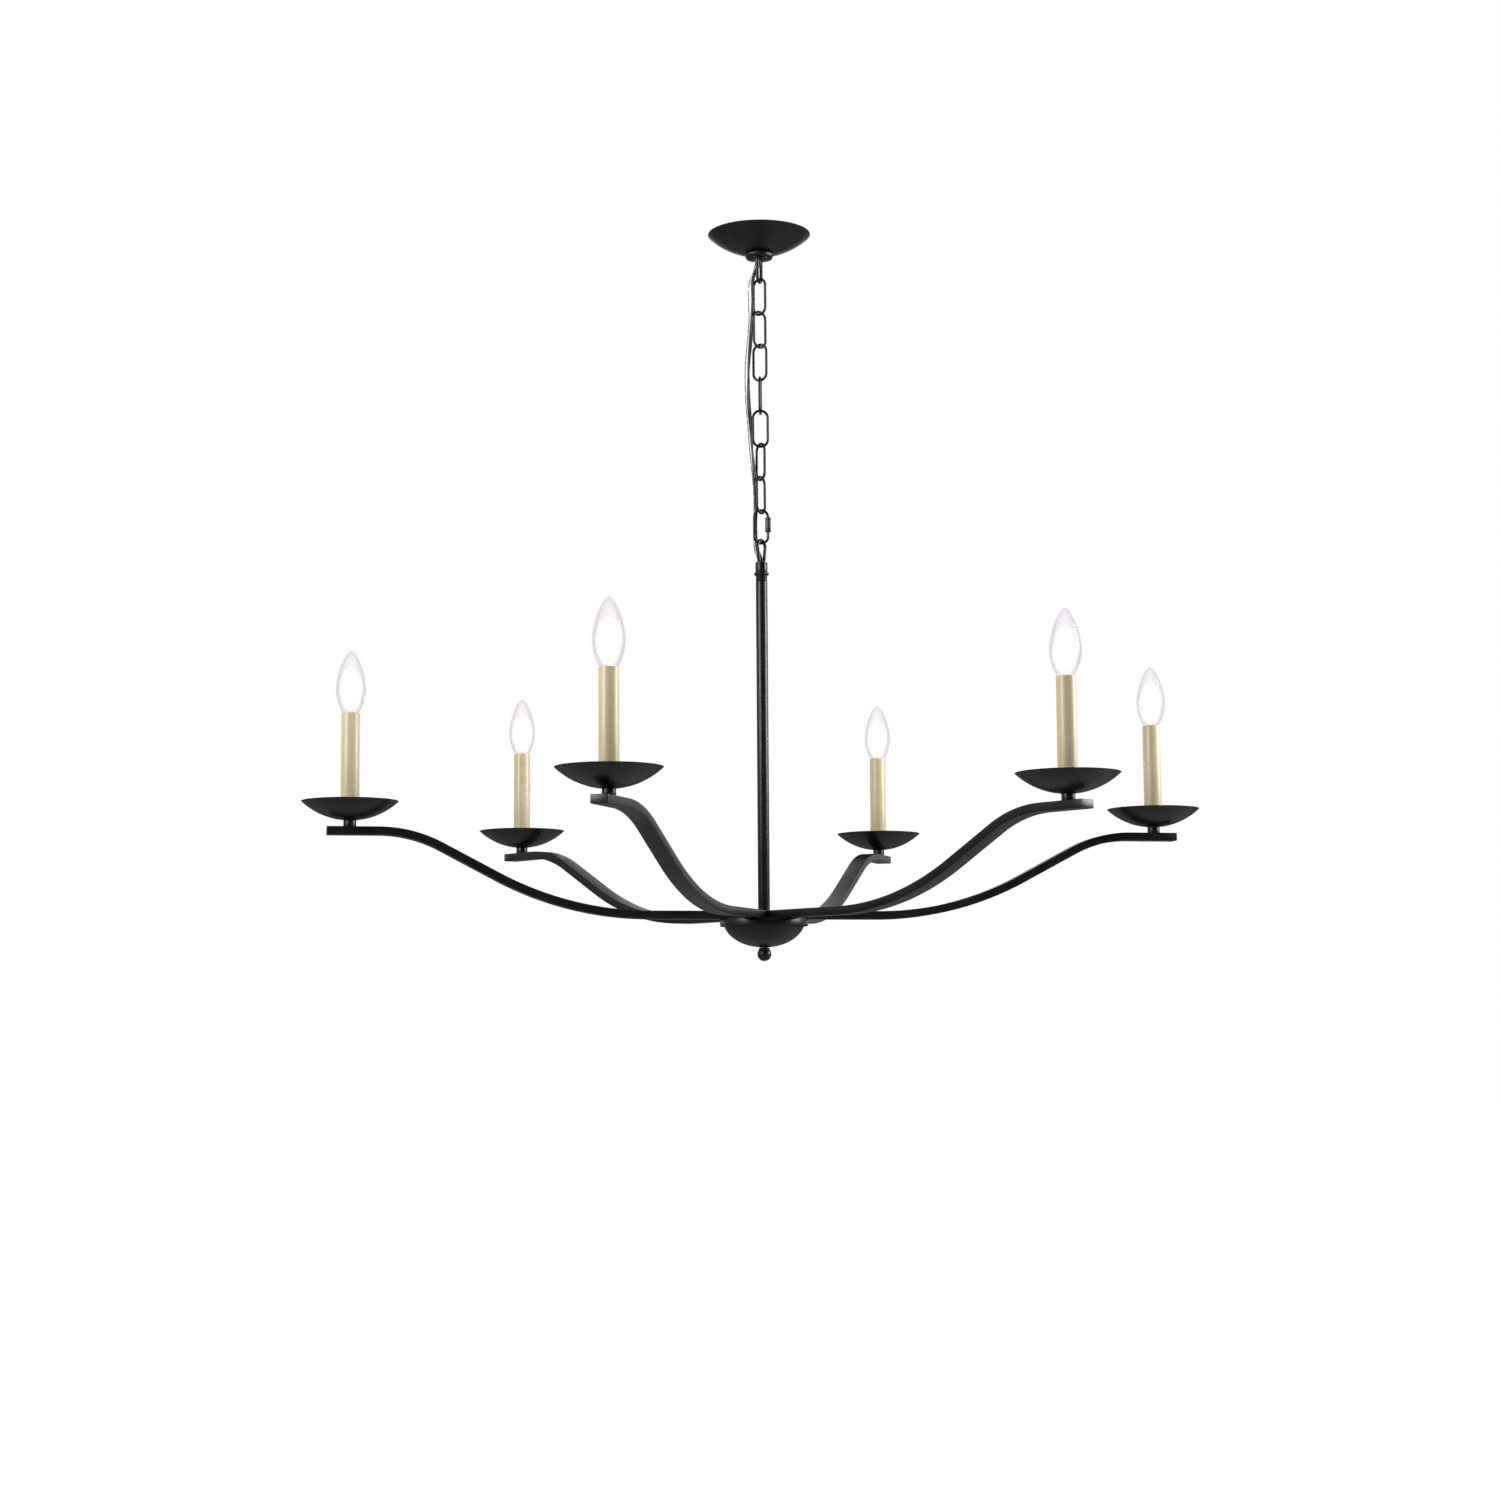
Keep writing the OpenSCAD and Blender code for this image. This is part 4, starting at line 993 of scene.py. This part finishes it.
class CHANDELIER_OT_dishes(bpy.types.Operator):
    """Make the six dishes and the short necks under them"""

    bl_idname = "chandelier.dishes"
    bl_label = "Dishes and necks"

    def execute(self, context):
        s = context.scene.chandelier_sizes
        rim_r, rim_z = (DISH_HIGH.x - DISH_LOW.x) / 2, DISH_HIGH.z
        depth = 22.8 * MM
        ball = (rim_r ** 2 + depth ** 2) / (2 * depth)
        centre = rim_z - depth + ball
        flat = 11.4 * MM
        bore = 4.85 * MM
        floor = centre - math.sqrt(ball ** 2 - flat ** 2)
        inner_rim = math.sqrt((ball - s.sheet) ** 2 - (ball - depth) ** 2)
        steps = 36
        outside = [(flat + (rim_r - flat) * i / steps) for i in range(steps + 1)]
        inside = [(inner_rim + (flat - inner_rim) * i / steps) for i in range(steps + 1)]
        outline = [(bore, floor)] + [(r, centre - math.sqrt(ball ** 2 - r * r)) for r in outside]
        outline += [(r, centre - math.sqrt((ball - s.sheet) ** 2 - r * r)) for r in inside]
        outline += [(bore, floor + s.sheet)]
        bm = spun(outline, CANDLE_X, 128)
        bevel_sharp(bm, 0.28 * MM, keep=lambda e: e.verts[0].co.z > rim_z - 2e-5 and e.verts[1].co.z > rim_z - 2e-5)
        for i in range(ARMS):
            finish_mesh(copy_turned(bm, 60 * i), f"drip_dish_{i + 1}", "black_metal", "fixture", [f"dish_{i + 1}"])
        bm.free()

        low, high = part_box("candle_necks")
        neck = 7.6 * MM
        bm = spun([(bore, low.z), (neck, low.z), (neck, high.z), (bore, high.z)], CANDLE_X, 64)
        bevel_sharp(bm, 0.5 * MM, keep=lambda e: (e.verts[0].co.xy - Vector((CANDLE_X, 0))).length > neck * 0.9)
        ring = bmesh.new()
        for i in range(ARMS):
            joined(ring, copy_turned(bm, 60 * i))
        bm.free()
        finish_mesh(ring, "short_necks", "black_metal", "fixture", ["candle_necks"])
        return {"FINISHED"}


class CHANDELIER_OT_sleeves(bpy.types.Operator):
    """Make the six candle sleeves"""

    bl_idname = "chandelier.sleeves"
    bl_label = "Candle sleeves"

    def execute(self, context):
        s = context.scene.chandelier_sizes
        outer = (SLEEVE_HIGH.x - SLEEVE_LOW.x) / 2
        inner = outer - s.wall
        bm = spun([(inner, SLEEVE_LOW.z), (outer, SLEEVE_LOW.z), (outer, SLEEVE_HIGH.z), (inner, SLEEVE_HIGH.z)], CANDLE_X, 72)
        bevel_sharp(bm, 0.35 * MM)
        for i in range(ARMS):
            finish_mesh(copy_turned(bm, 60 * i), f"candle_sleeve_{i + 1}", "candle_plastic", "fixture", [f"sleeve_{i + 1}"])
        bm.free()
        return {"FINISHED"}


class CHANDELIER_OT_bulbs(bpy.types.Operator):
    """Make the six bulbs: glass, screw base, inner stem and lit filaments"""

    bl_idname = "chandelier.bulbs"
    bl_label = "Bulbs"

    def glass_line(self, s, inset):
        """Outline of the glass from its neck to its tip."""
        seat, tip = SLEEVE_HIGH.z, BULB_HIGH.z
        widest = (BULB_HIGH.x - BULB_LOW.x) / 2
        neck, base, swell, steps = 9.6 * MM, 5.9 * MM, 0.4, 44
        line = [(base - inset, seat - 7 * MM), (base + 1.1 * MM - inset, seat - 5 * MM), (base + 2.6 * MM - inset, seat - 2 * MM)]
        for i in range(steps + 1):
            t = math.sin(math.pi / 2 * i / steps)
            if t < swell:
                r = neck + (widest - neck) * math.sin(math.pi / 2 * t / swell) ** 0.8
            else:
                r = widest * max(0.0, math.cos(math.pi / 2 * ((t - swell) / (1 - swell)) ** 0.8)) ** 0.54
            r = 0.0 if i == steps else max(0.35 * MM, r - inset)
            line.append((r, seat + 0.5 * MM + (tip - inset - seat - 0.5 * MM) * t))
        return line

    def screw_base(self):
        """Screw base: a solder tip, a skirt and rounded thread ridges."""
        low, high, r = BULB_LOW.z, SLEEVE_HIGH.z - 6.8 * MM, 5.9 * MM
        line = [(0.0, low), (2.2 * MM, low + 0.2 * MM), (2.5 * MM, low + 1.4 * MM), (4.6 * MM, low + 3 * MM)]
        start, pitch, turns = low + 4.4 * MM, 2.6 * MM, 4
        for k in range(turns):
            for i in range(8):
                t = i / 8
                line.append((r - 0.55 * MM * (0.5 + 0.5 * math.cos(2 * math.pi * t)), start + pitch * (k + t)))
        line += [(r - 0.55 * MM, start + pitch * turns), (r, high - 3 * MM), (r, high), (0.0, high)]
        return line

    def execute(self, context):
        s = context.scene.chandelier_sizes
        seat = SLEEVE_HIGH.z
        glass = spun(self.glass_line(s, 0.0) + self.glass_line(s, s.glass)[::-1], CANDLE_X, 72)
        base = spun(self.screw_base(), CANDLE_X, 48, closed=False)
        stem = spun([(0.0, seat - 6.8 * MM), (4.6 * MM, seat - 6.6 * MM), (3.0 * MM, seat - 1 * MM), (1.9 * MM, seat + 4 * MM),
                     (1.7 * MM, seat + 9 * MM), (1.2 * MM, seat + 11 * MM), (0.0, seat + 11.4 * MM)], CANDLE_X, 32, closed=False)
        sticks, wires = bmesh.new(), bmesh.new()
        low, high, thick = seat + 14 * MM, seat + 47 * MM, s.filament / 2
        for k in range(4):
            turn = 45 + 90 * k
            lean = math.atan2(2.6 * MM, high - low)
            rod = [(0.0, low)] + [(thick, low + 0.8 * MM), (thick, high - 0.8 * MM), (0.0, high)]
            bm = spun(rod, 0.0, 16, closed=False)
            bmesh.ops.rotate(bm, verts=bm.verts, cent=(0, 0, low), matrix=Matrix.Rotation(-lean, 3, "Y"))
            bmesh.ops.translate(bm, verts=bm.verts, vec=(5.2 * MM, 0, 0))
            bm = turned(bm, turn)
            bmesh.ops.translate(bm, verts=bm.verts, vec=(CANDLE_X, 0, 0))
            joined(sticks, bm)
            for line in (
                [(1.0 * MM, seat + 8 * MM), (3.4 * MM, seat + 10 * MM), (5.2 * MM, low + 0.4 * MM)],
                [(2.7 * MM, high - 0.6 * MM), (1.6 * MM, high + 2.2 * MM), (-0.2 * MM, high + 2.8 * MM)],
            ):
                bm = turned(swept(round_section(0.22 * MM, 8), flat_frames(line)), turn)
                bmesh.ops.translate(bm, verts=bm.verts, vec=(CANDLE_X, 0, 0))
                joined(wires, bm)
        for i in range(ARMS):
            body, node = f"bulb_{i + 1}", [f"bulb_{i + 1}"]
            turn = 60 * i
            finish_mesh(copy_turned(glass, turn), f"glass_bulb_{i + 1}", "bulb_glass", body, node)
            finish_mesh(copy_turned(stem, turn), f"glass_stem_{i + 1}", "bulb_glass", body, node)
            finish_mesh(copy_turned(base, turn), f"screw_base_{i + 1}", "plated_steel", body, node, angle=50.0)
            finish_mesh(copy_turned(wires, turn), f"support_wires_{i + 1}", "plated_steel", body, node)
            finish_mesh(copy_turned(sticks, turn), f"filaments_{i + 1}", "bulb_glass", body, node, finish="glow")
        for bm in (glass, base, stem, sticks, wires):
            bm.free()
        return {"FINISHED"}


class CHANDELIER_OT_hardware(bpy.types.Operator):
    """Give the crossbar, pipes, nuts, screws, sockets, leads and connectors their finishes"""

    bl_idname = "chandelier.hardware"
    bl_label = "Hidden hardware"

    def execute(self, context):
        slots = {row["node"]: row["material_slot"] for row in frame["record"]["subparts"]}
        for name, node in NODES.items():
            if node.hide_render:
                continue
            finish = FINISHES[slots[name]]
            if not node.material_slots:
                node.data.materials.append(finish)
            for place in node.material_slots:
                place.material = finish
        return {"FINISHED"}


class CHANDELIER_PT_panel(bpy.types.Panel):
    """Lists the sizes, the colours and the pieces"""

    bl_label = "Candle chandelier"
    bl_space_type = "VIEW_3D"
    bl_region_type = "UI"
    bl_category = "Chandelier"

    def draw(self, context):
        layout = self.layout
        for settings in (context.scene.chandelier_sizes, context.scene.chandelier_colours):
            column = layout.column()
            for key in type(settings).__annotations__:
                column.prop(settings, key)
        for operator in OPERATORS:
            layout.operator(operator.bl_idname)


OPERATORS = (
    CHANDELIER_OT_stage,
    CHANDELIER_OT_cords,
    CHANDELIER_OT_canopy,
    CHANDELIER_OT_chain,
    CHANDELIER_OT_quick_link,
    CHANDELIER_OT_stem,
    CHANDELIER_OT_hub,
    CHANDELIER_OT_arms,
    CHANDELIER_OT_dishes,
    CHANDELIER_OT_sleeves,
    CHANDELIER_OT_bulbs,
    CHANDELIER_OT_hardware,
)
CLASSES = (ChandelierSizes, ChandelierColours) + OPERATORS + (CHANDELIER_PT_panel,)


def register():
    for cls in CLASSES:
        bpy.utils.register_class(cls)
    bpy.types.Scene.chandelier_sizes = PointerProperty(type=ChandelierSizes)
    bpy.types.Scene.chandelier_colours = PointerProperty(type=ChandelierColours)


def unregister():
    del bpy.types.Scene.chandelier_colours
    del bpy.types.Scene.chandelier_sizes
    for cls in reversed(CLASSES):
        bpy.utils.unregister_class(cls)


def main():
    register()
    for operator in OPERATORS:
        getattr(bpy.ops.chandelier, operator.bl_idname.split(".")[1])()


if __name__ == "__main__":
    main()
